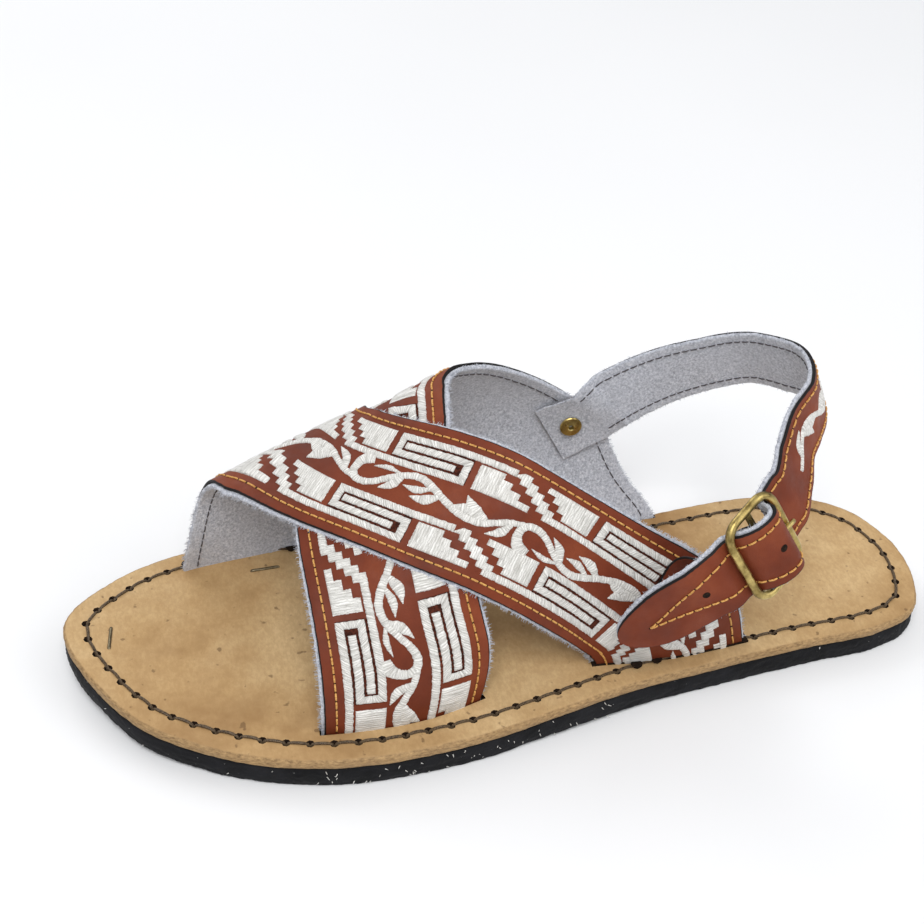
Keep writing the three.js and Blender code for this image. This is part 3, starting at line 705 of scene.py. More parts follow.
class Graph:
    """A short way to wire a material."""

    def __init__(self, name: str) -> None:
        """Start an empty material.

        Args:
            name: The material's name.
        """
        self.result = bpy.data.materials.new(name)
        self.result.use_nodes = True
        self.tree = self.result.node_tree
        self.shader = self.tree.nodes["Principled BSDF"]

    def node(self, kind: str, **values: object) -> bpy.types.Node:
        """Add a node.

        Args:
            kind: Its type.
            values: Its properties.

        Returns:
            The node.
        """
        made = self.tree.nodes.new(kind)
        for key, value in values.items():
            setattr(made, key, value)
        return made

    def link(self, source: Socket, target: Socket) -> None:
        """Join two sockets."""
        self.tree.links.new(source, target)

    def place(self, scale: Sequence[float] = (1, 1, 1)) -> Socket:
        """Object coordinates, stretched.

        Args:
            scale: The stretch along each axis.

        Returns:
            The coordinates' socket.
        """
        source = self.node("ShaderNodeTexCoord").outputs["Object"]
        mapping = self.node("ShaderNodeMapping")
        mapping.inputs["Scale"].default_value = scale
        self.link(source, mapping.inputs["Vector"])
        return mapping.outputs["Vector"]

    def mark(self) -> bpy.types.Node:
        """The marks on the mesh, split in three."""
        source = self.node("ShaderNodeAttribute", attribute_name="mark")
        split = self.node("ShaderNodeSeparateXYZ")
        self.link(source.outputs["Vector"], split.inputs["Vector"])
        return split

    def noise(self, scale: float, detail: float = 3, rough: float = 0.55,
              vector: Optional[Socket] = None) -> Socket:
        """A noise value.

        Args:
            scale: Waves in a metre.
            detail: Octaves.
            rough: How strong the fine octaves are.
            vector: Where it is read, object coordinates if left out.

        Returns:
            The value's socket.
        """
        made = self.node("ShaderNodeTexNoise")
        made.inputs["Scale"].default_value = scale
        made.inputs["Detail"].default_value = detail
        made.inputs["Roughness"].default_value = rough
        self.link(vector if vector is not None else self.place(), made.inputs["Vector"])
        return made.outputs["Fac"]

    def ramp(self, source: Socket, stops: Sequence[tuple[float, Colour]]) -> Socket:
        """Turn a value into colours.

        Args:
            source: The value.
            stops: Places and colours.

        Returns:
            The colour's socket.
        """
        made = self.node("ShaderNodeValToRGB")
        band = made.color_ramp
        while len(band.elements) < len(stops):
            band.elements.new(0.5)
        for element, (place, colour) in zip(band.elements, stops):
            element.position = place
            element.color = colour
        self.link(source, made.inputs["Fac"])
        return made.outputs["Color"]

    def span(self, source: Socket, low: float, high: float, start: float = 0.0,
             end: float = 1.0) -> Socket:
        """Map a value from one span to another, held at its ends.

        Args:
            source: The value.
            low: Where the first span starts.
            high: Where it ends.
            start: Where the second span starts.
            end: Where it ends.

        Returns:
            The new value's socket.
        """
        made = self.node("ShaderNodeMapRange", clamp=True)
        for name, value in (("From Min", low), ("From Max", high), ("To Min", start), ("To Max", end)):
            made.inputs[name].default_value = value
        self.link(source, made.inputs["Value"])
        return made.outputs["Result"]

    def math(self, operation: str, first: Socket, second: object) -> Socket:
        """Reckon with two values.

        Args:
            operation: The Math node's operation.
            first: A value.
            second: A value or a number.

        Returns:
            The result's socket.
        """
        made = self.node("ShaderNodeMath", operation=operation)
        self.link(first, made.inputs[0])
        if isinstance(second, Socket):
            self.link(second, made.inputs[1])
        else:
            made.inputs[1].default_value = second
        return made.outputs["Value"]

    def mix(self, share: Socket, first: object, second: object) -> Socket:
        """Mix two colours by a share.

        Args:
            share: The share of the second.
            first: A colour or its socket.
            second: A colour or its socket.

        Returns:
            The colour's socket.
        """
        made = self.node("ShaderNodeMix", data_type="RGBA", blend_type="MIX")
        self.link(share, made.inputs["Factor"])
        for key, value in (("A", first), ("B", second)):
            socket = next(s for s in made.inputs if s.name == key and s.type == "RGBA")
            if isinstance(value, Socket):
                self.link(value, socket)
            else:
                socket.default_value = value
        return next(s for s in made.outputs if s.type == "RGBA")

    def colour(self, source: Socket) -> None:
        """Feed the base colour."""
        self.link(source, self.shader.inputs["Base Color"])

    def rough(self, source: Socket) -> None:
        """Feed the roughness."""
        self.link(source, self.shader.inputs["Roughness"])

    def set(self, **values: float) -> None:
        """Set plain shader sockets, with spaces as underscores."""
        for key, value in values.items():
            self.shader.inputs[key.replace("_", " ")].default_value = value

    def bump(self, heights: Sequence[tuple[Socket, float]]) -> None:
        """Stack bumps.

        Args:
            heights: Height values from 0 to 1 and their depths in millimetres.
        """
        normal = None
        for source, depth in heights:
            made = self.node("ShaderNodeBump")
            made.inputs["Strength"].default_value = 1.0
            made.inputs["Distance"].default_value = depth * MM
            self.link(source, made.inputs["Height"])
            if normal is not None:
                self.link(normal, made.inputs["Normal"])
            normal = made.outputs["Normal"]
        self.link(normal, self.shader.inputs["Normal"])


@dataclass(frozen=True)
class Finish:
    """A material that is made once and then shared."""

    name: str

    def material(self) -> bpy.types.Material:
        """Make the material on first use.

        Returns:
            The material.
        """
        known = bpy.data.materials.get("look_" + self.name)
        if known is not None:
            return known
        graph = Graph("look_" + self.name)
        self.wire(graph)
        return graph.result

    def wire(self, graph: Graph) -> None:
        """Wire the nodes."""
        raise NotImplementedError


@dataclass(frozen=True)
class StrapLeather(Finish):
    """Smooth brown leather whose cut edge is painted black; mark Z is 1 on the cut edge."""

    name: str = "strap_leather"
    light: Colour = srgb(134, 66, 38)
    middle: Colour = srgb(115, 51, 28)
    dark: Colour = srgb(92, 39, 22)
    edge: Colour = srgb(20, 17, 18)

    def wire(self, graph: Graph) -> None:
        """Mottled colour, fine pores and the painted edge.

        Args:
            graph: The material to wire.
        """
        cloud = graph.noise(38, 4, 0.6)
        base = graph.ramp(cloud, [(0.30, self.dark), (0.52, self.middle), (0.74, self.light)])
        grain = graph.noise(1500, 2, 0.6)
        base = graph.mix(graph.span(grain, 0.35, 0.7, 0.0, 0.16), base, self.dark)
        marks = graph.mark()
        chips = graph.span(graph.noise(900, 2), 0.2, 0.8, -0.22, 0.22)
        broken = graph.math("ADD", marks.outputs["Z"], chips)
        painted = graph.span(broken, 0.40, 0.62)
        graph.colour(graph.mix(painted, base, self.edge))
        graph.rough(graph.span(graph.noise(220, 3), 0.3, 0.7, 0.46, 0.66))
        graph.set(Specular_IOR_Level=0.2)
        graph.bump([(graph.noise(95, 3), 0.25), (graph.noise(1700, 2, 0.6), 0.05)])


@dataclass(frozen=True)
class Suede(Finish):
    """Grey-blue split lining with a short nap."""

    name: str = "suede_lining"
    dark: Colour = srgb(136, 139, 149)
    middle: Colour = srgb(184, 187, 196)
    light: Colour = srgb(220, 221, 227)

    def wire(self, graph: Graph) -> None:
        """Speckled nap.

        Args:
            graph: The material to wire.
        """
        nap = graph.noise(1250, 4, 0.75)
        base = graph.ramp(nap, [(0.34, self.dark), (0.50, self.middle), (0.66, self.light)])
        cloud = graph.span(graph.noise(60, 3), 0.35, 0.65, 0.0, 0.3)
        graph.colour(graph.mix(cloud, base, self.middle))
        graph.set(Roughness=0.95, Sheen_Weight=0.35, Sheen_Roughness=0.6, Specular_IOR_Level=0.15)
        graph.bump([(graph.noise(420, 3), 0.22), (nap, 0.28)])


@dataclass(frozen=True)
class Satin(Finish):
    """White satin stitch; mark X runs across the threads in millimetres, mark Y along them."""

    name: str = "embroidery_thread"
    light: Colour = srgb(242, 240, 235)
    shade: Colour = srgb(165, 161, 153)
    pitch: float = 0.8

    def wire(self, graph: Graph) -> None:
        """Threads laid side by side, with single ones darker and painted shade in the grooves between them.

        Args:
            graph: The material to wire.
        """
        marks = graph.mark()
        wobble = graph.span(graph.noise(700, 3), 0.2, 0.8, -0.35, 0.35)
        across = graph.math("ADD", marks.outputs["X"], wobble)
        phase = graph.math("MULTIPLY", across, 2 * math.pi / self.pitch)
        wave = graph.span(graph.math("SINE", phase, 0.0), -1.0, 1.0)
        join = graph.node("ShaderNodeCombineXYZ")
        graph.link(graph.math("MULTIPLY", marks.outputs["X"], 1.5), join.inputs["X"])
        graph.link(graph.math("MULTIPLY", marks.outputs["Y"], 0.12), join.inputs["Y"])
        strand = graph.noise(1.0, 3, 0.7, join.outputs["Vector"])
        shade = graph.span(strand, 0.38, 0.64, 0.0, 0.75)
        base = graph.mix(shade, self.light, self.shade)
        # Dark lines along the thread pitch: painted shade in the grooves between threads.
        lines = graph.span(wave, 0.0, 0.4, 0.5, 0.0)
        graph.colour(graph.mix(lines, base, self.shade))
        graph.set(Roughness=0.42, Sheen_Weight=0.25, Sheen_Roughness=0.4, Specular_IOR_Level=0.5)
        graph.bump([(wave, 0.12), (strand, 0.3)])


@dataclass(frozen=True)
class Thread(Finish):
    """Sewing thread of one colour."""

    name: str = "stitch_thread"
    light: Colour = srgb(222, 172, 98)
    dark: Colour = srgb(170, 112, 52)
    roughness: float = 0.6

    def wire(self, graph: Graph) -> None:
        """Twisted fibres.

        Args:
            graph: The material to wire.
        """
        fibre = graph.noise(2600, 2, 0.6)
        graph.colour(graph.ramp(fibre, [(0.35, self.dark), (0.6, self.light)]))
        graph.set(Roughness=self.roughness, Specular_IOR_Level=0.3)
        graph.bump([(fibre, 0.08)])


@dataclass(frozen=True)
class InsoleLeather(Finish):
    """Undyed leather: mottled, with fine fibres and small dark flecks; mark Z is 1 on the side."""

    name: str = "insole_leather"
    light: Colour = srgb(206, 175, 129)
    middle: Colour = srgb(184, 150, 104)
    dark: Colour = srgb(150, 115, 73)
    fleck: Colour = srgb(88, 62, 38)
    side: Colour = srgb(122, 96, 64)

    def wire(self, graph: Graph) -> None:
        """Clouds, flecks and a rougher side.

        Args:
            graph: The material to wire.
        """
        cloud = graph.noise(22, 5, 0.62)
        base = graph.ramp(cloud, [(0.33, self.dark), (0.50, self.middle), (0.68, self.light)])
        fine = graph.noise(900, 4, 0.7, graph.place((1.0, 0.55, 1.0)))
        base = graph.mix(graph.span(fine, 0.42, 0.62, 0.28, 0.0), base, self.dark)
        spot = graph.noise(330, 2, 0.4)
        base = graph.mix(graph.span(spot, 0.26, 0.31, 0.55, 0.0), base, self.fleck)
        marks = graph.mark()
        fibres = graph.noise(620, 4, 0.7, graph.place((1.0, 1.0, 2.6)))
        rough_side = graph.ramp(fibres, [(0.32, self.side), (0.68, self.middle)])
        graph.colour(graph.mix(graph.span(marks.outputs["Z"], 0.3, 0.8), base, rough_side))
        graph.rough(graph.span(graph.noise(80, 3), 0.35, 0.65, 0.62, 0.82))
        graph.set(Specular_IOR_Level=0.3)
        graph.bump([(graph.noise(60, 3), 0.35), (fine, 0.09), (spot, 0.08)])


@dataclass(frozen=True)
class Rubber(Finish):
    """Black tyre rubber; mark Z is 1 on the cut side, where white cord ends show."""

    name: str = "tyre_rubber"
    base: Colour = srgb(13, 13, 15)
    worn: Colour = srgb(36, 36, 39)
    speck: Colour = srgb(196, 196, 192)

    def wire(self, graph: Graph) -> None:
        """Scuffs, grain and specks.

        Args:
            graph: The material to wire.
        """
        scuff = graph.noise(70, 5, 0.7)
        base = graph.ramp(scuff, [(0.4, self.base), (0.72, self.worn)])
        marks = graph.mark()
        grain = graph.noise(1300, 2, 0.6, graph.place((1.0, 1.0, 0.45)))
        on_side = graph.span(marks.outputs["Z"], 0.4, 0.7)
        specks = graph.math("MULTIPLY", graph.span(grain, 0.75, 0.78), on_side)
        graph.colour(graph.mix(specks, base, self.speck))
        graph.rough(graph.span(scuff, 0.3, 0.7, 0.5, 0.8))
        graph.set(Specular_IOR_Level=0.15)
        graph.bump([(graph.noise(260, 4, 0.7), 0.25), (grain, 0.12)])


@dataclass(frozen=True)
class Metal(Finish):
    """Worn metal with dull patches."""

    name: str = "brass"
    bright: Colour = srgb(204, 182, 116)
    dull: Colour = srgb(128, 108, 62)
    low: float = 0.24
    high: float = 0.5

    def wire(self, graph: Graph) -> None:
        """Patches, scratches and pits.

        Args:
            graph: The material to wire.
        """
        patch = graph.noise(190, 4, 0.65)
        graph.colour(graph.ramp(patch, [(0.36, self.dull), (0.62, self.bright)]))
        graph.rough(graph.span(graph.noise(420, 3), 0.3, 0.7, self.low, self.high))
        graph.set(Metallic=1.0)
        graph.bump([(graph.noise(520, 3, 0.6), 0.08)])


@dataclass(frozen=True)
class Dark(Finish):
    """Painted shade: the dark inside of a hole or a narrow gap."""

    name: str = "hole_shade"
    tone: Colour = srgb(26, 19, 15)
    soft: Colour = srgb(44, 32, 24)

    def wire(self, graph: Graph) -> None:
        """Nearly black, slightly uneven."""
        graph.colour(graph.ramp(graph.noise(1200, 2), [(0.4, self.tone), (0.6, self.soft)]))
        graph.set(Roughness=0.95, Specular_IOR_Level=0.1)


@dataclass(frozen=True)
class FloorFinish(Finish):
    """A plain pale floor."""

    name: str = "floor"
    tone: Colour = (0.86, 0.86, 0.865, 1.0)

    def wire(self, graph: Graph) -> None:
        """One pale tone with the faintest cloud.

        Args:
            graph: The material to wire.
        """
        soft = (0.84, 0.84, 0.845, 1.0)
        graph.colour(graph.ramp(graph.noise(3, 2), [(0.3, soft), (0.7, self.tone)]))
        graph.set(Roughness=0.9, Specular_IOR_Level=0.1)


LEATHER = StrapLeather()
SUEDE = Suede()
SATIN = Satin()
EDGE_STITCH = Thread()
SUEDE_STITCH = Thread("suede_stitch_thread", srgb(92, 88, 90), srgb(58, 54, 56))
WAXED = Thread("waxed_thread", srgb(104, 86, 64), srgb(40, 30, 22), 0.5)
GREY_THREAD = Thread("sole_thread", srgb(176, 176, 170), srgb(120, 120, 116), 0.7)
WHITE_FIBRE = Thread("white_fibre", srgb(226, 224, 218), srgb(180, 178, 172), 0.8)
INSOLE = InsoleLeather()
RUBBER = Rubber()
BRASS = Metal()
STEEL = Metal("staple_steel", srgb(150, 138, 112), srgb(84, 74, 56), 0.3, 0.5)
# Painted shade inside needle holes, punched holes and insole slots.
HOLE_SHADE = Dark()
# Near-black pad under the frets: painted shade of the gaps between strokes, partly needle-punched leather.
GAP_SHADE_AND_PUNCHED_GROUND = Dark("embroidery_gap_shade_and_punched_ground", srgb(50, 26, 20), srgb(84, 42, 30))


def slab_section(low: float, high: float, bottom: float, top: float, radius: float,
                 across: int) -> tuple[Array, Array, Array]:
    """Section of a flat band with rounded edges.

    Args:
        low: Where the band starts across.
        high: Where it ends.
        bottom: Its foot side.
        top: Its outer side.
        radius: Rounding of its edges.
        across: Steps over each face.

    Returns:
        The places across, the heights, and 1 on the cut edges, once round.
    """
    turns = np.array([0.0, 0.25, 0.5, 0.75, 1.0]) * math.pi / 2
    corner_in = 1 - np.cos(turns)
    corner_up = 1 - np.sin(turns)
    face = np.linspace(low + radius, high - radius, across + 1)[1:-1]
    right = high - radius * corner_in
    left = low + radius * corner_in
    widths = [face, right[::-1], right, face[::-1], left[::-1], left]
    rises = [np.full(face.shape, top), (top - radius * corner_up)[::-1], bottom + radius * corner_up,
             np.full(face.shape, bottom), (bottom + radius * corner_up)[::-1], top - radius * corner_up]
    edge = [np.zeros(face.shape), np.array([0.35, 0.8, 1, 1, 1.0]), np.ones(5),
            np.zeros(face.shape), np.ones(5), np.array([1, 1, 1, 0.8, 0.35])]
    return np.concatenate(widths), np.concatenate(rises), np.concatenate(edge)


def wander(values: Array, seed: float, scale: float) -> Array:
    """Smooth noise from -1 to 1 along a line."""
    return np.array([noise.noise(Vector((value * scale, seed, 0.37 * seed))) for value in values])


def band_rings(strap: Strap, stations: Array, low: float, high: float, bottom: float, top: float,
               ragged: float, seed: float, across: int = 24) -> tuple[Array, Array]:
    """Rings and marks of one layer of a strap.

    Args:
        strap: The strap.
        stations: Distances along it.
        low: Where the layer starts across.
        high: Where it ends.
        bottom: Its foot side.
        top: Its outer side.
        ragged: How far its edges wander.
        seed: Seed of the wandering.
        across: Steps over each face.

    Returns:
        The rings and their marks.
    """
    widths, rises, edge = slab_section(low, high, bottom, top, (top - bottom) * 0.42, across)
    middle = (low + high) / 2
    near_low = np.clip((middle - widths) / (middle - low), 0, 1) ** 8
    near_high = np.clip((widths - middle) / (high - middle), 0, 1) ** 8
    drift_low = ragged * (0.6 * wander(stations, seed, 0.35) + 0.4 * wander(stations, seed + 3, 1.7))
    drift_high = ragged * (0.6 * wander(stations, seed + 7, 0.35) + 0.4 * wander(stations, seed + 9, 1.7))
    across_grid = widths + drift_low[:, None] * near_low + drift_high[:, None] * near_high
    along_grid = np.broadcast_to(stations[:, None], across_grid.shape)
    rings = strap.place(along_grid, across_grid, np.broadcast_to(rises, across_grid.shape))
    marks = np.stack([along_grid, across_grid, np.broadcast_to(edge, across_grid.shape)], -1)
    return rings, marks


@dataclass
class StrapBuilder:
    """The layers, seams and fringe of one strap."""

    strap: Strap
    name: str
    slot: str
    start: float
    end: float
    leather: float = 1.2
    lip: float = 0.45
    fringe: float = 0.55
    nap: float = 1.0
    stitch_inset: float = 4.0
    pitch: float = 2.9
    needle: float = 0.36
    ply_gap: float = 0.02
    leather_wander: float = 0.15
    lining_wander: float = 0.6
    seed: int = 1

    def layers(self, nodes: Sequence[str] = (), step: float = 0.9) -> None:
        """Build the leather and its lining.

        Args:
            nodes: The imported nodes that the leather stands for.
            step: Distance between stations.
        """
        strap = self.strap
        count = max(8, int((self.end - self.start) / step))
        stations = np.linspace(self.start, self.end, count)
        split = strap.wall - self.leather
        pile = Pile()
        pile.add(*band_rings(strap, stations, self.lip, strap.width - self.lip, split + self.ply_gap,
                             strap.wall, self.leather_wander, self.seed))
        finish_piece(pile, self.name + "_leather", LEATHER, self.slot, nodes)
        pile = Pile()
        pile.add(*band_rings(strap, stations, -self.fringe, strap.width + self.fringe, 0.0,
                             split - self.ply_gap, self.lining_wander, self.seed + 20))
        finish_piece(pile, self.name + "_lining", SUEDE, self.slot)

    def hairs(self, count: int, start: float, end: float) -> None:
        """Build the loose nap along both edges of the lining.

        Args:
            count: How many hairs on each edge.
            start: Where they start along the strap.
            end: Where they end.
        """
        strap = self.strap
        rng = random.Random(self.seed * 101)
        lines = []
        for side in (-1, 1):
            edge = -self.fringe if side < 0 else strap.width + self.fringe
            for _ in range(count):
                along = rng.uniform(start, end)
                out = rng.uniform(0.15, strap.wall - self.leather - 0.1)
                long = side * self.nap * rng.uniform(0.35, 1.25)
                drift = rng.uniform(-0.7, 0.7)
                rise = rng.uniform(-0.5, 0.5)
                lines.append([(along, edge - side * 0.45, out),
                              (along + drift * 0.5, edge + long * 0.6, out + rise * 0.4),
                              (along + drift, edge + long, out + rise)])
        flat = np.array(lines)
        pile = Pile()
        for points in strap.place(flat[..., 0], flat[..., 1], flat[..., 2]):
            add_wire(pile, points, np.array([0.09, 0.06, 0.02]), 3)
        finish_piece(pile, self.name + "_nap", SUEDE, self.slot)

    def seam(self, lines: Sequence[Array]) -> None:
        """Sew through both layers along lines of (along, across) points.

        Args:
            lines: The lines.
        """
        outer = Pile()
        holes = Pile()
        under = Pile()
        for line in lines:
            length = running_length(line)[-1]
            count = max(2, int(length / self.pitch))
            spots = points_at(line, np.linspace(0, length, count + 1))
            for first, second in zip(spots[:-1], spots[1:]):
                self._stitch(outer, first, second, self.strap.wall, 1.0, 0.3)
                self._stitch(under, first, second, 0.0, -1.0, 0.22)
            for spot in spots:
                self._hole(holes, spot)
        finish_piece(outer, self.name + "_seam", EDGE_STITCH, self.slot)
        # Dark forms at the needle holes: painted shade inside them.
        finish_piece(holes, self.name + "_seam_holes", HOLE_SHADE, self.slot)
        finish_piece(under, self.name + "_seam_inside", SUEDE_STITCH, self.slot)

    def _stitch(self, pile: Pile, first: Array, second: Array, level: float, way: float,
                radius: float) -> None:
        """Sew one stitch, arched off the face.

        Args:
            pile: The stitches so far.
            first: Its first hole.
            second: Its second hole.
            level: Height of the face.
            way: 1 on the outer face, -1 on the foot side.
            radius: The thread's radius.
        """
        shares = np.array([0.06, 0.2, 0.5, 0.8, 0.94])
        arch = np.array([-0.22, 0.14, 0.24, 0.14, -0.22]) * way
        spots = first + (second - first) * shares[:, None]
        points = self.strap.place(spots[:, 0], spots[:, 1], level + arch)
        add_wire(pile, points, radius * np.array([0.7, 1.0, 1.0, 1.0, 0.7]), 6)

    def _hole(self, pile: Pile, spot: Array) -> None:
        """Add a needle hole's painted shade as a sunk dark form."""
        profile = ((0.02, 0.035), (self.needle, 0.03), (self.needle, -0.1), (0.02, -0.1))
        add_dimple(pile, self.strap, spot, profile, 6)


def add_dimple(pile: Pile, strap: Strap, spot: Sequence[float], profile: Rows,
               sides: int) -> None:
    """Add a round dark form, sunk into a strap's outer face, that stands for a hole's painted shade.

    Args:
        pile: The tubes so far.
        strap: The strap.
        spot: Its middle, along and across.
        profile: Radius and height over the face, from the top down.
        sides: Corners of its outline.
    """
    turn = np.linspace(0, 2 * math.pi, sides, endpoint=False)
    rings = [strap.place(spot[0] + reach * np.cos(turn), spot[1] + reach * np.sin(turn),
                         np.full(sides, strap.wall + level)) for reach, level in profile]
    pile.add(np.array(rings))


def sew(pile: Pile, first: Array, second: Array, shares: Array, rises: Array,
        ground: Callable[[Array], Array], bow: float = 0.0) -> None:
    """Lay one stitch of waxed thread between two holes of the sole.

    Args:
        pile: The stitches so far.
        first: The first hole.
        second: The second hole.
        shares: Shares of the way from hole to hole.
        rises: Height over the ground at each.
        ground: Height of the ground at X.
        bow: How far its middle lies to the side.
    """
    way = second - first
    line = first + way * shares[:, None]
    side = unit(np.array([-way[1], way[0]]))
    line = line + side * (bow * np.sin(shares * math.pi))[:, None]
    wire = np.column_stack([line, ground(line[:, 0]) + rises])
    add_wire(pile, wire, np.full(len(wire), 0.5), 7)


def add_wire(pile: Pile, points: Array, radii: Array, sides: int, closed: bool = False) -> None:
    """Add a round wire along points.

    Args:
        pile: The tubes so far.
        points: The middle line in millimetres.
        radii: The wire's radius at each point.
        sides: Corners of its section.
        closed: Whether it runs on to its first point.
    """
    if closed:
        tangents = np.roll(points, -1, axis=0) - np.roll(points, 1, axis=0)
    else:
        tangents = np.gradient(points, axis=0)
    tangents = unit(tangents)
    normal = np.cross(tangents[0], [0.31, 0.17, 0.93])
    if np.linalg.norm(normal) < 0.2:
        normal = np.cross(tangents[0], [0.9, 0.2, 0.1])
    turn = np.arange(sides) / sides * 2 * math.pi
    rings = []
    for point, tangent, radius in zip(points, tangents, np.broadcast_to(radii, len(points))):
        normal = normal - tangent * float(normal @ tangent)
        normal = normal / np.linalg.norm(normal)
        side = np.cross(tangent, normal)
        rings.append(point + radius * (np.cos(turn)[:, None] * normal + np.sin(turn)[:, None] * side))
    pile.add(np.array(rings), closed=closed)


@dataclass
class Needlework:
    """Raised satin stitch on a strap, drawn in (along, across) millimetres."""

    strap: Strap
    height: float = 0.55
    step: float = 0.55
    jag: float = 0.13
    seed: int = 5

    def __post_init__(self) -> None:
        """Seed the uneven threads and start with no work."""
        self.rng = random.Random(self.seed)
        self.pile = Pile(sharp=75)
        self.ground = Pile()

    def band(self, left: Array, right: Array, along_path: bool = True) -> None:
        """Fill the band between two lines that run side by side.

        Args:
            left: Points of one side.
            right: As many points of the other.
            along_path: Whether the threads lie across the band's run, or across the strap.
        """
        count = len(left)
        shares = np.array([0.0, 0.05, 0.16, 0.34, 0.5, 0.66, 0.84, 0.95, 1.0])
        dome = np.array([-0.05, 0.45, 0.78, 0.95, 1.0, 0.95, 0.78, 0.45, -0.05])
        jag = np.array([self.rng.uniform(-self.jag, self.jag) for _ in range(2 * count)]).reshape(2, count)
        across = right - left
        reach = np.linalg.norm(across, axis=1, keepdims=True)
        way = across / np.maximum(reach, 1e-6)
        limit = np.minimum(1.0, reach[:, 0] / 1.5)
        left = left - way * (jag[0] * limit)[:, None]
        right = right + way * (jag[1] * limit)[:, None]
        spots = left[:, None, :] + (right - left)[:, None, :] * shares[None, :, None]
        middle = (left + right) / 2
        run = running_length(middle)
        tall = self.height * np.minimum(1.0, reach[:, 0] / 1.2) ** 0.5
        fade = np.minimum(1.0, np.minimum(run, run[-1] - run) / 0.5 + 0.25)
        rises = self.strap.wall + (tall * fade)[:, None] * dome[None, :]
        top = self.strap.place(spots[..., 0], spots[..., 1], rises)
        base_spots = spots[:, [8, 0], :]
        base = self.strap.place(base_spots[..., 0], base_spots[..., 1],
                                np.full(base_spots.shape[:2], self.strap.wall - 0.3))
        rings = np.concatenate([top, base], axis=1)
        all_spots = np.concatenate([spots, base_spots], axis=1)
        if along_path:
            side = np.concatenate([shares, [1.0, 0.0]])[None, :] * reach
            marks = np.stack([np.broadcast_to(run[:, None], side.shape), side, np.zeros(side.shape)], -1)
        else:
            marks = np.stack([all_spots[..., 0], all_spots[..., 1], np.zeros(all_spots.shape[:2])], -1)
        marks[..., 0] += self.rng.uniform(0, 40)
        self.pile.add(rings, marks)

    def stroke(self, points: Rows, width: float) -> None:
        """A line of even width with mitred corners.

        Args:
            points: Its middle line.
            width: Its width.
        """
        corners = np.asarray(points, float)
        ways = unit(np.diff(corners, axis=0))
        sides = np.stack([-ways[:, 1], ways[:, 0]], -1)
        offsets = [sides[0]]
        for before, after in zip(sides[:-1], sides[1:]):
            miter = before + after
            offsets.append(miter / max(0.3, float(miter @ before)))
        offsets.append(sides[-1])
        offsets = np.array(offsets) * width / 2
        left = []
        right = []
        for k in range(len(corners) - 1):
            count = max(1, math.ceil(np.linalg.norm(corners[k + 1] - corners[k]) / self.step))
            shares = (np.arange(count + (k == len(corners) - 2)) / count)[:, None]
            start, end = corners[k] + offsets[k], corners[k + 1] + offsets[k + 1]
            left.append(start + (end - start) * shares)
            start, end = corners[k] - offsets[k], corners[k + 1] - offsets[k + 1]
            right.append(start + (end - start) * shares)
        self.band(np.concatenate(left), np.concatenate(right))

    def stem(self, points: Rows, widths: Sequence[float]) -> None:
        """A curved line whose width changes.

        Args:
            points: Points that its middle line runs through.
            widths: Its width at each.
        """
        places = np.linspace(0, 1, 120)
        rough = SmoothPath(np.asarray(points, float)).at(places)
        lengths = running_length(rough)
        count = max(4, math.ceil(lengths[-1] / self.step))
        marks = np.linspace(0, lengths[-1], count + 1)
        line = points_at(rough, marks)
        shares = np.interp(marks, lengths, places)
        wide = smooth_value(np.linspace(0, 1, len(widths)), widths, shares) / 2
        way = unit(np.gradient(line, axis=0))
        side = np.stack([-way[:, 1], way[:, 0]], -1) * np.maximum(wide, 0.12)[:, None]
        self.band(line + side, line - side)

    def leaf(self, base: Sequence[float], tip: Sequence[float], width: float, bend: float) -> None:
        """A pointed leaf.

        Args:
            base: Where it starts.
            tip: Where it ends.
            width: Its greatest width.
            bend: How far its middle bows out, as a share of its length.
        """
        start = np.asarray(base, float)
        end = np.asarray(tip, float)
        way = end - start
        side = np.array([-way[1], way[0]])
        middle = (start + end) / 2 + side * bend
        self.stem([start, middle, end], [width * 0.45, width, 0.25])

    def steps(self, left: Rows, shift: Sequence[float]) -> None:
        """A stepped line: a stair swept sideways.

        Args:
            left: The stair's corners.
            shift: How far it is swept.
        """
        line = resample(left, self.step)
        self.band(line, line + np.asarray(shift, float), along_path=False)

    def block(self, rows: Rows) -> None:
        """A solid block of rows across the strap.

        Args:
            rows: Start and end of each row across, and its left and right end along.
        """
        left = []
        right = []
        for top, bottom, start, end in rows:
            count = max(2, math.ceil(abs(bottom - top) / self.step))
            places = np.linspace(top, bottom, count + 1)
            left += [(start, place) for place in places]
            right += [(end, place) for place in places]
        self.band(np.array(left, float), np.array(right, float), along_path=False)

    def patch(self, low: Sequence[float], high: Sequence[float]) -> None:
        """Lay a dark pad under close work: painted shade of the narrow gaps between strokes, partly the
        leather's darkening from needle punching.

        Args:
            low: One corner, along and across.
            high: The corner opposite.
        """
        along = np.linspace(low[0], high[0], max(2, int((high[0] - low[0]) / 1.5)))[:, None]
        across = np.array([low[1], (low[1] + high[1]) / 2, high[1]])
        top = self.strap.place(along, across, self.strap.wall + 0.05)
        base = self.strap.place(along, across[::-1], self.strap.wall - 0.2)
        self.ground.add(np.concatenate([top, base], axis=1))

    def finish(self, name: str, slot: str) -> None:
        """Turn the work into pieces."""
        finish_piece(self.pile, name, SATIN, slot)
        if self.ground.faces:
            # The dark pad: painted shade of the gaps between strokes over needle-punched leather.
            finish_piece(self.ground, name + "_ground", GAP_SHADE_AND_PUNCHED_GROUND, slot)


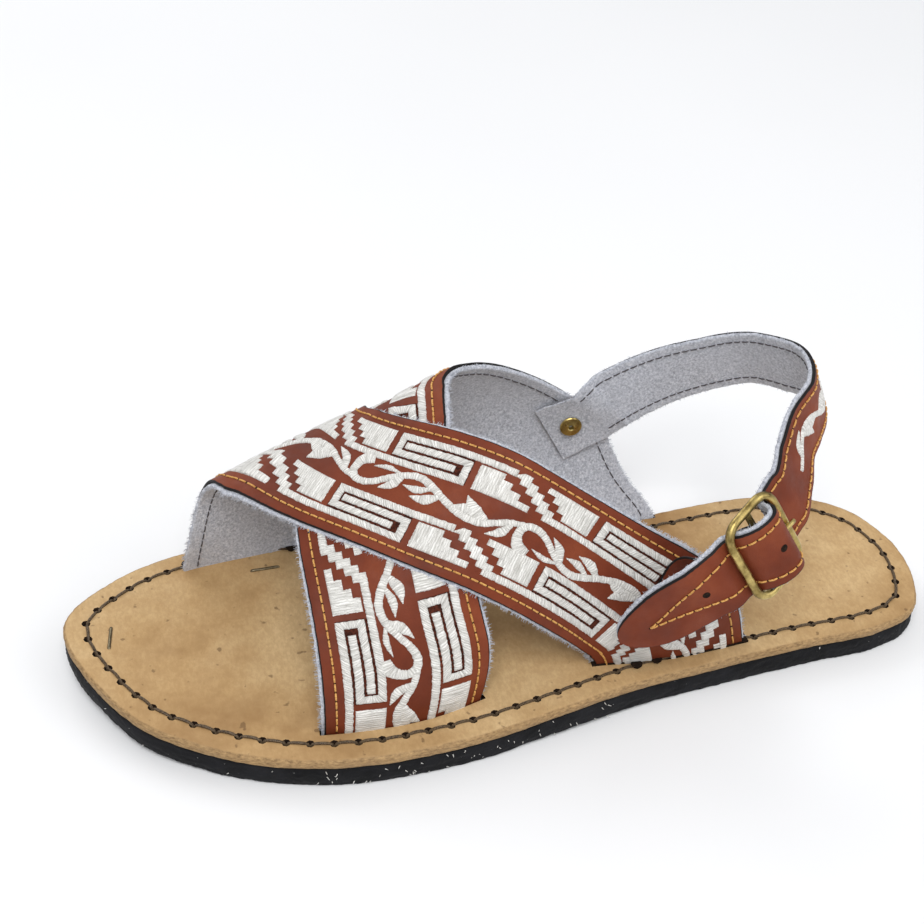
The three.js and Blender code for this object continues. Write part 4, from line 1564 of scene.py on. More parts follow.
@dataclass
class FretRow:
    """A row of stepped frets: spirals joined by blocks and stairs.

    A spiral's bars run on by enter and leave towards its neighbours. The blocks' slanted sides and
    the stair's ends are measured back from the next spiral's left end.
    """

    work: Needlework
    top: float
    height: float = 12.2
    line: float = 2.5
    room: float = 0.6
    hook_room: float = 2.0
    enter: float = 18.0
    leave: float = 13.0
    first_block_start: float = 2.2
    first_block_ends: tuple[float, ...] = (22.5, 26.5, 29.8, 32.8)
    second_block_starts: tuple[float, ...] = (12.3, 14.8, 17.3, 20.0)
    second_block_end: float = 2.3
    stair_foot: float = 31.0
    stair_head: float = 18.0
    stair_steps: int = 5

    def draw(self, spirals: Rows) -> None:
        """Draw the row.

        Args:
            spirals: Left and right end of each spiral.
        """
        for index, (left, right) in enumerate(spirals):
            after = spirals[index + 1] if index + 1 < len(spirals) else None
            before = spirals[index - 1] if index > 0 else None
            self._spiral(left, right, before is not None, after is not None)
            if after is not None:
                self._between(right, after[0])

    def _levels(self) -> list[float]:
        """Middle lines of the four bars of a spiral."""
        gap = (self.height - 4 * self.line) / 3
        return [self.top + self.line / 2 + k * (self.line + gap) for k in range(4)]

    def _spiral(self, left: float, right: float, joined: bool, goes_on: bool) -> None:
        """Two hooks that grip each other.

        Args:
            left: The spiral's left end.
            right: Its right end.
            joined: Whether its upper bar runs back to the spiral before.
            goes_on: Whether its lower bar runs on to the spiral after.
        """
        first, second, third, fourth = self._levels()
        half = self.line / 2
        low, high = left + half, right - half
        # Dark pad under the spiral: painted shade of the gaps between its strokes.
        self.work.patch((left - 0.2, self.top + 0.4), (right + 0.2, self.top + self.height - 0.4))
        enter = left - self.enter if joined else left
        leave = right + self.leave if goes_on else right
        outer_hook = left + self.line + self.room
        self.work.stroke([(enter, first), (high, first), (high, third), (outer_hook, third)], self.line)
        inner_hook = right - self.line - self.hook_room
        self.work.stroke([(inner_hook, second), (low, second), (low, fourth), (leave, fourth)], self.line)

    def _between(self, right: float, left: float) -> None:
        """The block after a spiral, the stair, and the block before the next one.

        Args:
            right: The spiral's right end.
            left: The next one's left end.
        """
        top, height = self.top, self.height
        rise = (height - self.line - self.room) / len(self.first_block_ends)
        start = right + self.first_block_start
        self.work.block([(top + k * rise, top + (k + 1) * rise, start, left - end)
                         for k, end in enumerate(self.first_block_ends)])
        low = top + self.line + self.room
        end = left - self.second_block_end
        self.work.block([(low + k * rise, low + (k + 1) * rise, left - start, end)
                         for k, start in enumerate(self.second_block_starts)])
        foot, head = left - self.stair_foot, left - self.stair_head
        run = (head - foot) / self.stair_steps
        climb = (height - self.line) / self.stair_steps
        stair = []
        for k in range(self.stair_steps + 1):
            x = foot + k * run
            y = top + height - self.line - k * climb
            stair.append((x, y + (climb if k else 0)))
            stair.append((x, y))
        self.work.steps(stair, (self.line + 0.4, self.line))


@dataclass
class Vine:
    """A winding stem with hooks and leaves, turned over from one motif to the next."""

    work: Needlework
    middle: float
    scale: float = 1.0
    stem: Table = (
        (5.2, 6.2), (2.2, 5.2), (0.6, 2.6), (0.5, -0.4), (2.2, -2.6), (5.4, -3.0), (9.0, -1.6),
        (13.0, 1.4), (17.5, 4.0), (22.0, 4.8), (27.0, 3.0), (32.0, 0.0), (38.0, -2.6), (44.0, -3.0),
        (49.0, -0.8), (53.5, 1.4), (58.5, 2.7),
    )
    widths: tuple[float, ...] = (
        3.6, 4.2, 3.2, 2.7, 2.6, 2.6, 2.4, 2.3, 2.4, 2.6, 2.6, 2.4, 2.5, 2.6, 2.3, 2.2, 2.0,
    )
    leaves: Table = (
        (17.0, 3.6, 11.0, -3.4, 3.2, 0.10), (15.5, 4.2, 6.2, 3.6, 1.9, -0.08),
        (27.0, 2.0, 18.0, 0.6, 2.6, 0.10), (30.5, 0.6, 21.5, -2.4, 3.4, 0.12),
        (46.0, -1.6, 38.0, 4.2, 4.6, 0.12), (34.5, -1.6, 45.0, -0.6, 3.6, 0.08),
        (53.5, 1.0, 47.0, -5.6, 3.0, 0.14),
    )

    def draw(self, motifs: Rows) -> None:
        """Draw the motifs.

        Args:
            motifs: Where each starts along, and 1 or -1 for its way up.
        """
        widths = [width * self.scale for width in self.widths]
        for start, way in motifs:
            self.work.stem([self._place(start, way, x, y) for x, y in self.stem], widths)
            for x0, y0, x1, y1, width, bend in self.leaves:
                base, tip = self._place(start, way, x0, y0), self._place(start, way, x1, y1)
                self.work.leaf(base, tip, width * self.scale, bend * way)

    def _place(self, start: float, way: float, x: float, y: float) -> tuple[float, float]:
        """A place of a motif that starts at start, along and across the strap."""
        return start + x * self.scale, self.middle + way * y * self.scale


@dataclass
class Upper:
    """The two crossed straps with their embroidery and seams."""

    last: Last
    top_rows: Table = (
        (0.858, 0, 0.684, 0), (0.833, 0.269, 0.666, 0.087), (0.816, 0.458, 0.654, 0.194),
        (0.809, 0.505, 0.652, 0.218), (0.796, 0.531, 0.638, 0.355), (0.733, 0.635, 0.625, 0.500),
        (0.576, 0.819, 0.491, 0.694), (0.451, 0.968, 0.338, 0.814), (0.443, 0.980, 0.289, 0.870),
        (0.438, 0.988, 0.271, 0.921), (0.434, 1, 0.254, 1),
    )
    under_rows: Table = (
        (0.744, 1, 0.571, 1), (0.743, 0.877, 0.563, 0.912), (0.743, 0.788, 0.572, 0.820),
        (0.744, 0.661, 0.576, 0.702), (0.737, 0.571, 0.576, 0.626), (0.722, 0.469, 0.569, 0.564),
        (0.701, 0.323, 0.562, 0.509), (0.662, 0.190, 0.549, 0.451), (0.606, 0.110, 0.525, 0.362),
        (0.555, 0.062, 0.470, 0.271), (0.508, 0.024, 0.368, 0.155), (0.480, 0.008, 0.321, 0.048),
        (0.457, 0, 0.281, 0),
    )
    crossing_lift: float = 2.0
    tail: float = 3.6
    front_top: float = 6.4
    rear_top: float = 31.6

    def build(self) -> None:
        """Build both straps."""
        top = CrossStrap(self.last, self.top_rows, self.crossing_lift)
        under = CrossStrap(self.last, self.under_rows, 0.0)
        for strap, name, seed, nodes in ((top, "top_strap", 1, ("upper",)), (under, "under_strap", 2, ())):
            builder = StrapBuilder(strap, name, "strap_leather", -self.tail, strap.length + self.tail,
                                   seed=seed)
            builder.layers(nodes)
            builder.hairs(900, 0.0, strap.length)
            inset = builder.stitch_inset
            along = np.linspace(0.5, strap.length - 0.5, 200)
            lines = [np.stack([along, np.full(200, across)], -1) for across in (inset, strap.width - inset)]
            builder.seam(lines)
        self._embroider(top, "top_strap_embroidery", 11,
                        ((-53.5, -27.5), (16.0, 42.0), (85.5, 111.5), (155.0, 186.5), (226.0, 252.0)),
                        ((-44.5, -19.0), (25.5, 51.0), (95.5, 121.5), (164.5, 193.0), (235.0, 261.0)),
                        ((-26.0, 1.0), (30.0, -1.0), (86.0, 1.0), (142.0, -1.0), (198.0, 1.0)))
        self._embroider(under, "under_strap_embroidery", 12,
                        ((-60.0, -34.0), (10.5, 37.5), (77.0, 103.0), (138.0, 170.0), (232.0, 258.0)),
                        ((-56.0, -30.0), (13.7, 40.0), (81.0, 107.0), (146.0, 174.0), (234.0, 260.0)),
                        ((-38.0, 1.0), (18.5, -1.0), (74.5, 1.0), (130.5, -1.0), (186.5, 1.0)))

    def _embroider(self, strap: CrossStrap, name: str, seed: int, front: Rows, rear: Rows,
                   vine: Rows) -> None:
        """Embroider two rows of frets with a vine between them.

        Args:
            strap: The strap.
            name: The piece's name.
            seed: Seed of the uneven threads.
            front: Ends of the spirals along the front edge.
            rear: Ends of the spirals along the rear edge.
            vine: Where each motif of the vine starts, and its way up.
        """
        work = Needlework(ClippedStrap(strap), seed=seed)
        FretRow(work, self.front_top).draw(front)
        FretRow(work, self.rear_top).draw(rear)
        Vine(work, STRAP_WIDTH / 2).draw(vine)
        work.finish(name, "strap_leather")


class ClippedStrap(Strap):
    """A strap whose pattern runs into its slots and stops inside the insole."""

    def __init__(self, strap: CrossStrap) -> None:
        """Wrap a strap.

        Args:
            strap: The strap.
        """
        self.strap = strap
        self.length, self.width, self.wall = strap.length, strap.width, strap.wall
        self.depth = 3.0

    def place(self, along: Array, across: Array, out: Array) -> Array:
        """Points of the strap, held between the ends of its tails."""
        held = np.clip(along, -self.depth, self.length + self.depth)
        return self.strap.place(held, across, out)


@dataclass
class HeelStrap:
    """The heel strap from its riveted root round the heel, through the buckle to the billet's tip."""

    last: Last
    buckle: Buckle
    width: float = 23.0
    thickness: float = 2.4
    root_thickness: float = 1.4
    feather: float = 0.5
    root: Table = ((0.414, 0.108), (0.389, 0.130), (0.368, 0.150))
    loop: Table = (
        (0.344, -0.888, 0.642, 0.51, -0.16, 0.85), (0.289, -0.872, 0.757, 0.42, -0.05, 0.91),
        (0.239, -0.807, 0.840, 0.38, 0.06, 0.92), (0.193, -0.708, 0.906, 0.38, 0.08, 0.92),
        (0.165, -0.525, 0.945, 0.38, -0.03, 0.92), (0.150, -0.335, 0.978, 0.42, -0.08, 0.90),
        (0.155, -0.145, 0.984, 0.36, -0.08, 0.93), (0.173, 0.037, 0.977, 0.30, -0.06, 0.95),
        (0.203, 0.218, 0.947, 0.43, -0.09, 0.90), (0.220, 0.378, 0.889, 0.55, -0.10, 0.83),
    )
    weave: Table = (
        (-1.88, -0.356, 0.20), (-1.49, -0.337, 0.16), (-1.14, -0.317, 0.10), (-0.89, -0.277, 0.05),
        (-0.723, -0.09, 0), (-0.663, 0.158, 0), (-0.584, 0.396, 0), (-0.386, 0.564, 0), (-0.119, 0.584, 0),
        (0.178, 0.495, 0), (0.436, 0.317, 0), (0.624, 0.10, 0), (0.733, -0.119, 0), (0.95, -0.29, 0),
        (1.21, -0.337, 0), (1.53, -0.356, 0),
    )
    billet: Table = (
        (0.347, 0.880, 0.582, 0.66, -0.09, 0.74), (0.369, 0.839, 0.486, 0.72, -0.11, 0.69),
        (0.394, 0.804, 0.380, 0.69, -0.10, 0.71), (0.424, 0.755, 0.272, 0.64, -0.07, 0.77),
    )

    def _free(self, row: Sequence[float]) -> RibbonRow:
        """A row of the free strap.

        Args:
            row: Share of the length, of half the ball and of the instep, then the lean.

        Returns:
            The row.
        """
        sole = self.last.sole
        at, side, rise = row[:3]
        height = float(sole.insole_top(np.array(at))) + rise * sole.instep
        point = np.array([float(sole.along(at)), side * sole.half_ball, height])
        return RibbonRow(point, np.array(row[3:]), self.thickness, 0.0, self._skin())

    def _skin(self) -> float:
        """Where the root's middle lies against the last."""
        return -(1.3 * self.last.sole.gap + self.root_thickness / 2)

    def ribbon(self) -> Ribbon:
        """Lay the strap's own form.

        Returns:
            The ribbon, which starts at the root.
        """
        rows = []
        for at, over in self.root:
            point = self.last.stand_off(at, over, self._skin())
            rows.append(RibbonRow(point, np.array([0.55, 0, 0.83]), self.root_thickness, 1.0, self._skin()))
        rows[0].thickness = self.feather
        rows += [self._free(row) for row in self.loop]
        bars = self.buckle.axes()[2]
        half = self.buckle.half_run
        for run, out, shift in self.weave:
            point = self.buckle.place(run * half, shift * half, out * half)
            rows.append(RibbonRow(point, bars, self.thickness, 0.0, self._skin()))
        rows += [self._free(row) for row in self.billet]
        made = Ribbon(self.last, rows, self.width, Side.MEDIAL)
        made.tip = made.length - made.length_at_row(len(rows) - 1 - 2.1)
        return made

    def build(self) -> None:
        """Build the strap, its seams, its vine and its holes."""
        ribbon = self.ribbon()
        builder = StrapBuilder(ribbon, "heel_strap", "strap_leather", 0.0, ribbon.length, leather=1.15,
                               lip=0.3, fringe=0.35, nap=0.65, stitch_inset=2.9, seed=3)
        builder.layers(("heel_strap",), 0.7)
        builder.hairs(700, 4.0, ribbon.length - 2)
        weave_row = len(self.root) + len(self.loop)
        billet_row = weave_row + len(self.weave)
        plain_from = ribbon.length_at_row(weave_row) - 12.0
        self._seams(builder, ribbon, ribbon.length_at_row(billet_row))
        work = Needlework(ribbon, height=0.5, seed=13)
        Vine(work, self.width / 2, 0.86).draw(self._motifs(6.0, plain_from))
        work.finish("heel_strap_embroidery", "strap_leather")
        self._holes(ribbon, weave_row, billet_row)

    def _motifs(self, start: float, end: float) -> list[tuple[float, float]]:
        """Lay vine motifs end to end.

        Args:
            start: Where they may start along the strap.
            end: Where the last one ends.

        Returns:
            Where each starts, and its way up.
        """
        pitch = 48.0
        count = int((end - start) / pitch)
        first = end - count * pitch
        return [(first + k * pitch, 1.0 if k % 2 else -1.0) for k in range(count)]

    def _seams(self, builder: StrapBuilder, ribbon: Ribbon, billet_start: float) -> None:
        """Sew two rows that run on as a long V on the billet.

        Args:
            builder: The strap's builder.
            ribbon: The strap.
            billet_start: Where the billet leaves the buckle.
        """
        inset = builder.stitch_inset
        apex = ribbon.length - 10.5
        turn = billet_start - 6.0
        rows = []
        for edge, near in ((inset, self.width / 2 - 6.0), (self.width - inset, self.width / 2 + 6.0)):
            line = [(17.0, edge), (turn - 22.0, edge), (turn, near), (apex, self.width / 2)]
            rows.append(resample(line, 2.0))
        builder.seam(rows)

    def _holes(self, ribbon: Ribbon, weave_row: int, billet_row: int) -> None:
        """Paint the shade of the holes that show, as sunk dark forms.

        Args:
            ribbon: The strap.
            weave_row: Its first row in the buckle.
            billet_row: Its first row past the buckle.
        """
        pile = Pile()
        profile = ((0.03, 0.05), (1.0, 0.06), (1.15, 0.0), (0.9, -0.4), (0.03, -0.4))
        for row in (weave_row + 8, billet_row):
            add_dimple(pile, ribbon, (ribbon.length_at_row(row), self.width / 2), profile, 20)
        # Painted shade inside the punched holes.
        finish_piece(pile, "heel_strap_holes", HOLE_SHADE, "strap_leather")


@dataclass
class BucklePieces:
    """Ring, bar, prong and the tab that holds them."""

    last: Last
    buckle: Buckle
    outer_ply: Table = (
        (1.49, -0.584), (1.0, -0.564), (0.644, -0.455), (0.317, -0.297),
    )
    inner_ply: Table = (
        (0.129, -0.406), (0.495, -0.594), (1.0, -0.743), (1.39, -0.80),
    )
    seat: Table = ((0.356, 0.886), (0.376, 0.910), (0.394, 0.930))

    def build(self) -> None:
        """Build every piece."""
        self._ring()
        self._prong()
        self._tab()

    def _ring(self) -> None:
        """A ring of round wire with its bar."""
        b = self.buckle
        steps = 10
        line = []
        for sx, sy, start in ((1, 1, 0), (-1, 1, 0.5), (-1, -1, 1.0), (1, -1, 1.5)):
            centre = (sx * (b.half_run - b.corner), sy * (b.half_bars - b.corner))
            for k in range(steps + 1):
                turn = (start + 0.5 * k / steps) * math.pi
                line.append((centre[0] + b.corner * math.cos(turn), centre[1] + b.corner * math.sin(turn)))
        dense = resample(line + line[:1], 1.6)[:-1]
        points = b.place(dense[:, 0], dense[:, 1], np.zeros(len(dense)))
        radius = b.wire / 2 * (1 + 0.03 * wander(np.arange(len(dense)), 4.0, 0.3))
        pile = Pile()
        add_wire(pile, points, radius, 16, closed=True)
        bar = np.linspace(-b.half_bars, b.half_bars, 24)
        add_wire(pile, b.place(np.zeros(24), bar, np.zeros(24)), np.full(24, b.bar_wire / 2), 14)
        finish_piece(pile, "buckle_ring_wire", BRASS, "brass", ("buckle_ring",))

    def _prong(self) -> None:
        """The prong: an eye round the bar and a rod to the ring."""
        b = self.buckle
        middle_radius = sum(b.eye) / 2
        turn = np.linspace(0, 2 * math.pi, 28, endpoint=False)
        pile = Pile()
        eye = b.place(middle_radius * np.cos(turn), np.zeros(28), middle_radius * np.sin(turn))
        add_wire(pile, eye, np.full(28, (b.eye[1] - b.eye[0]) / 2), 10, closed=True)
        out = b.wire / 2 + self.last.sole.gap + b.prong_wire / 2
        tip = b.half_run + b.wire / 2 + 0.6
        run = np.array([-0.3, -3.0, -6.0, -9.0, -tip + 0.4, -tip])
        radii = b.prong_wire / 2 * np.array([1.1, 1.1, 1.05, 1.0, 0.95, 0.4])
        add_wire(pile, b.place(run, np.zeros(6), np.full(6, out)), radii, 12)
        finish_piece(pile, "buckle_prong_wire", BRASS, "brass", ("buckle_prong",))

    def _tab(self) -> None:
        """The tab from the top strap's end up to the bar, round it and back."""
        b = self.buckle
        half = b.half_run
        bars = b.axes()[2]

        def beside(run: float, out: float) -> RibbonRow:
            """One row beside the bar, in shares of the ring's half length."""
            return RibbonRow(b.place(run * half, 0.0, out * half), bars, b.tab_thickness)

        rows = [beside(*row) for row in self.outer_ply]
        radius = sum(b.eye) / 2
        for k in range(10):
            turn = (-0.33 + 1.72 * k / 9) * math.pi
            rows.append(RibbonRow(b.place(radius * math.cos(turn), 0.0, radius * math.sin(turn)), bars,
                                  b.tab_thickness))
        rows += [beside(*row) for row in self.inner_ply]
        skin = STRAP_WALL + 2 * self.last.sole.gap + b.tab_thickness / 2
        for at, over in self.seat:
            point = self.last.stand_off(at, over, skin)
            rows.append(RibbonRow(point, np.array([0.62, -0.08, 0.78]), b.tab_thickness, 1.0, skin))
        ribbon = Ribbon(self.last, rows, b.tab_width, Side.LATERAL)
        stations = np.linspace(0, ribbon.length, 90)
        pile = Pile()
        pile.add(*band_rings(ribbon, stations, 0.1, b.tab_width - 0.1, 0.0, ribbon.wall, 0.1, 6.0, 12))
        finish_piece(pile, "buckle_tab_leather", LEATHER, "strap_leather", ("buckle_tab",))


@dataclass
class Rivet:
    """The rivet of the heel strap's root: a dome outside and a washer with a hole inside."""

    last: Last
    at: float = 0.389
    over: float = 0.130
    head: float = 4.3
    washer: float = 3.8
    shank: float = 1.4
    bore: float = 0.9
    root: float = 1.4

    def build(self) -> None:
        """Turn the rivet about its axis."""
        seat, axis = self.last.point(self.at, self.over), self.last.normal(self.at, self.over)
        gap = self.last.sole.gap
        high = STRAP_WALL + gap
        low = -(2.3 * gap + self.root + 0.2)
        profile = [
            (0.02, low + 0.6), (self.bore, low + 0.6), (self.bore, low - 0.9),
            (self.bore + 0.35, low - 1.15), (self.bore + 0.9, low - 1.0),
            (self.washer - 0.9, low - 0.85), (self.washer - 0.25, low - 0.8),
            (self.washer, low - 0.45), (self.washer - 0.1, low), (self.shank, low), (self.shank, high),
            (self.head, high), (self.head, high + 0.3), (self.head * 0.93, high + 0.75),
            (self.head * 0.75, high + 1.15), (self.head * 0.45, high + 1.4), (0.02, high + 1.5),
        ]
        side = unit(np.cross(axis, [0.3, 0.1, 0.95]))
        other = np.cross(axis, side)
        turn = np.linspace(0, 2 * math.pi, 40, endpoint=False)
        rings = [seat + axis * h + r * (np.cos(turn)[:, None] * side + np.sin(turn)[:, None] * other)
                 for r, h in profile]
        pile = Pile(sharp=40)
        pile.add(np.array(rings))
        finish_piece(pile, "rivet_body", BRASS, "brass", ("rivet",))


@dataclass
class SoleSlab:
    """One layer of the sole with a worked edge."""

    sole: Sole
    stations: int = 230

    def loop(self, inset: float) -> Array:
        """The outline pulled in by a distance, once round from the heel by the medial side.

        Args:
            inset: How far inside the edge.

        Returns:
            Points (x, y).
        """
        x, medial, lateral = self.sole.edges(self.stations)
        ring = np.concatenate([np.stack([x, medial], -1), np.stack([x, lateral], -1)[::-1][1:-1]])
        if inset == 0:
            return ring
        way = unit(np.roll(ring, -1, axis=0) - np.roll(ring, 1, axis=0))
        return ring + inset * np.stack([-way[:, 1], way[:, 0]], -1)

    def spots(self, inset: float, pitch: float) -> Array:
        """Even places round the sole.

        Args:
            inset: How far inside the edge.
            pitch: The least distance between them.

        Returns:
            Points (x, y).
        """
        loop = self.loop(inset)
        closed = np.concatenate([loop, loop[:1]])
        length = running_length(closed)[-1]
        return points_at(closed, np.linspace(0, length, int(length / pitch), endpoint=False))

    def rings(self, low: float, high: float, insets: Rows,
              rough: Callable[[Array, float], Array]) -> tuple[Array, Array]:
        """Rings round the outline, each a section from the spine out, over the side and back.

        Args:
            low: Height of the underside over the lifted floor line.
            high: Height of the upper face.
            insets: Inset from the edge, share of the thickness and 1 on the cut side. An inset past
                SPINE is SPINE and a share of the way to the spine.
            rough: How far the side stands in or out, by place round and height share.

        Returns:
            The rings and their marks.
        """
        outline = self.loop(0)
        count = len(outline)
        spine_x = np.clip(outline[:, 0], -self.sole.length / 2 + 36, self.sole.length / 2 - 44)
        x, medial, lateral = self.sole.edges(self.stations)
        spine_y = np.interp(spine_x, x, (medial + lateral) / 2)
        spine = np.stack([spine_x, spine_y], -1)
        inward = unit(spine - outline)
        depth = np.linalg.norm(spine - outline, axis=1)
        places = np.arange(count, dtype=float)
        rings = np.zeros((count, len(insets), 3))
        marks = np.zeros((count, len(insets), 3))
        for k, (inset, share, cut) in enumerate(insets):
            distance = depth * (inset - SPINE) if inset > SPINE else np.full(count, inset)
            offset = rough(places, share) * cut
            spot = outline + inward * (distance - offset)[:, None]
            at = spot[:, 0] / self.sole.length + 0.5
            height = self.sole.lift(at) + low + (high - low) * share
            rings[:, k] = np.column_stack([spot, height])
            marks[:, k, 2] = cut
        return rings, marks


@dataclass
class Insole:
    """The leather insole: slots, needle holes, waxed stitches and staples."""

    sole: Sole
    last: Last
    upper: Upper
    inset: float = 6.9
    pitch: float = 7.1
    hole: float = 1.3
    slot_room: float = 0.5
    slot_end: float = 1.0
    staples: tuple[tuple[str, float, float, float], ...] = (
        ("staple_toe", 0.951, -0.21, 82.0), ("staple_ball", 0.767, -0.69, 2.0),
        ("staple_waist", 0.33, -0.05, 5.0),
    )

    def build(self) -> None:
        """Build the insole and all that is sewn or driven into it."""
        slab = SoleSlab(self.sole)
        spots = slab.spots(self.inset, self.pitch)
        body = self._body(slab)
        self._cut(body, spots)
        self._stitches(spots)
        for row in self.staples:
            self._staple(*row)

    def _body(self, slab: SoleSlab) -> bpy.types.Object:
        """Make the slab with its softly rounded, slightly ragged edge.

        Args:
            slab: The outline.

        Returns:
            The insole, not yet cut.
        """
        low = self.sole.outsole + self.sole.gap
        high = low + self.sole.insole
        insets = [(11.0, 0, 0), (10.6, 0, 0), (10.2, 0, 0), (1.2, 0, 0.3), (0.35, 0.06, 1), (0.1, 0.2, 1),
                  (0.0, 0.35, 1), (0.05, 0.5, 1), (0.0, 0.65, 1), (0.12, 0.8, 1), (0.4, 0.92, 0.9),
                  (0.9, 0.98, 0.4), (1.6, 1, 0), (4.0, 1, 0), (10.16, 1, 0), (10.3, 1, 0), (10.45, 1, 0),
                  (10.6, 1, 0), (10.8, 1, 0), (11.0, 1, 0)]

        def rough(places: Array, share: float) -> Array:
            """A cut that wavers along the edge."""
            return 0.28 * wander(places, 2.0 + share * 3, 0.21) + 0.16 * wander(places, 9.0, 0.9)

        rings, marks = slab.rings(low, high, insets, rough)
        pile = Pile(sharp=60, weld=SPINE_WELD, level=True)
        pile.add(rings, marks, closed=True)
        return finish_piece(pile, "insole_body", INSOLE, "insole_leather", ("insole",))

    def _top(self, x: Array) -> Array:
        """Height of the upper face at X."""
        return self.sole.insole_top(x / self.sole.length + 0.5)

    def _cut(self, body: bpy.types.Object, spots: Array) -> None:
        """Cut the slots and the needle holes.

        Args:
            body: The insole.
            spots: Places of the needle holes.
        """
        pile = Pile()
        for rows, lift in ((self.upper.top_rows, self.upper.crossing_lift), (self.upper.under_rows, 0.0)):
            strap = CrossStrap(self.last, rows, lift)
            for end in (0.0, strap.length):
                self._slot(pile, strap, end)
        turn = np.linspace(0, 2 * math.pi, 8, endpoint=False)
        for x, y in spots:
            top = float(self._top(np.array(x)))
            rings = [np.stack([x + r * np.cos(turn), y + r * np.sin(turn), np.full(8, top + h)], -1)
                     for r, h in ((self.hole * 1.5, 1.0), (self.hole * 1.15, 0.1), (self.hole * 0.8, -0.5),
                                  (self.hole * 0.45, -2.4))]
            pile.add(np.array(rings), np.ones((4, 8, 3)))
        mesh = pile.mesh("insole_cutter")
        cutter = bpy.data.objects.new("insole_cutter", mesh)
        bpy.context.scene.collection.objects.link(cutter)
        # Cut walls take the near-black fill: painted shade inside the slots and needle holes.
        mesh.materials.append(HOLE_SHADE.material())
        body.data.materials.append(HOLE_SHADE.material())
        change = body.modifiers.new("cuts", "BOOLEAN")
        change.operation = "DIFFERENCE"
        change.solver = "EXACT"
        change.object = cutter
        change.material_mode = "TRANSFER"
        bpy.context.view_layer.update()
        graph = bpy.context.evaluated_depsgraph_get()
        result = bpy.data.meshes.new_from_object(body.evaluated_get(graph))
        body.modifiers.clear()
        body.data = result
        bpy.data.objects.remove(cutter)
        LOG.info("insole cut: %d faces", len(result.polygons))

    def _slot(self, pile: Pile, strap: CrossStrap, end: float) -> None:
        """Add the cutter of one slot.

        Args:
            pile: The cutters so far.
            strap: The strap that goes down through it.
            end: That end's place along the strap.
        """
        across = np.linspace(-self.slot_end, strap.width + self.slot_end, 25)
        outer = strap.place(end, across, strap.wall + self.slot_room)
        inner = strap.place(end, across, -self.slot_room)
        mouth = np.concatenate([outer, inner[::-1]])
        rings = np.array([mouth + [0, 0, 1.0], mouth - [0, 0, 6.0]])
        pile.add(rings, np.ones(rings.shape))

    def _stitches(self, spots: Array) -> None:
        """Sew with a waxed thread that dips into each hole.

        Args:
            spots: Places of the needle holes.
        """
        pile = Pile()
        rng = random.Random(8)
        shares = np.array([0.0, 0.1, 0.28, 0.5, 0.72, 0.9, 1.0])
        rises = np.array([-1.6, -0.25, 0.30, 0.42, 0.30, -0.25, -1.6])
        for first, second in zip(spots, np.roll(spots, -1, axis=0)):
            sew(pile, first, second, shares, rises, self._top, rng.uniform(-0.25, 0.25))
        finish_piece(pile, "insole_stitches", WAXED, "insole_leather")

    def _staple(self, name: str, at: float, side: float, turn: float) -> None:
        """Drive one staple.

        Args:
            name: Its node's name.
            at: Share of the sole's length.
            side: Share of half the ball's width.
            turn: Angle of its back to the sole's length, in degrees.
        """
        length, wire, leg = 10.5, 1.1, 2.6
        x0, y0 = float(self.sole.along(at)), side * self.sole.half_ball
        seat = float(self.sole.insole_top(np.array(at)))
        angle = math.radians(turn)
        half = length / 2 - wire / 2
        flat = [(-half, -leg), (-half, -0.5), (-half + 0.25, 0.0), (-half + 0.8, 0.12), (0, 0.02),
                (half - 0.8, 0.12), (half - 0.25, 0.0), (half, -0.5), (half, -leg)]
        corners = [(x0 + u * math.cos(angle), y0 + u * math.sin(angle), seat + v) for u, v in flat]
        line = resample(corners, 0.8)
        pile = Pile()
        add_wire(pile, line, np.full(len(line), wire / 2), 10)
        finish_piece(pile, name + "_wire", STEEL, "staple_steel", (name,))


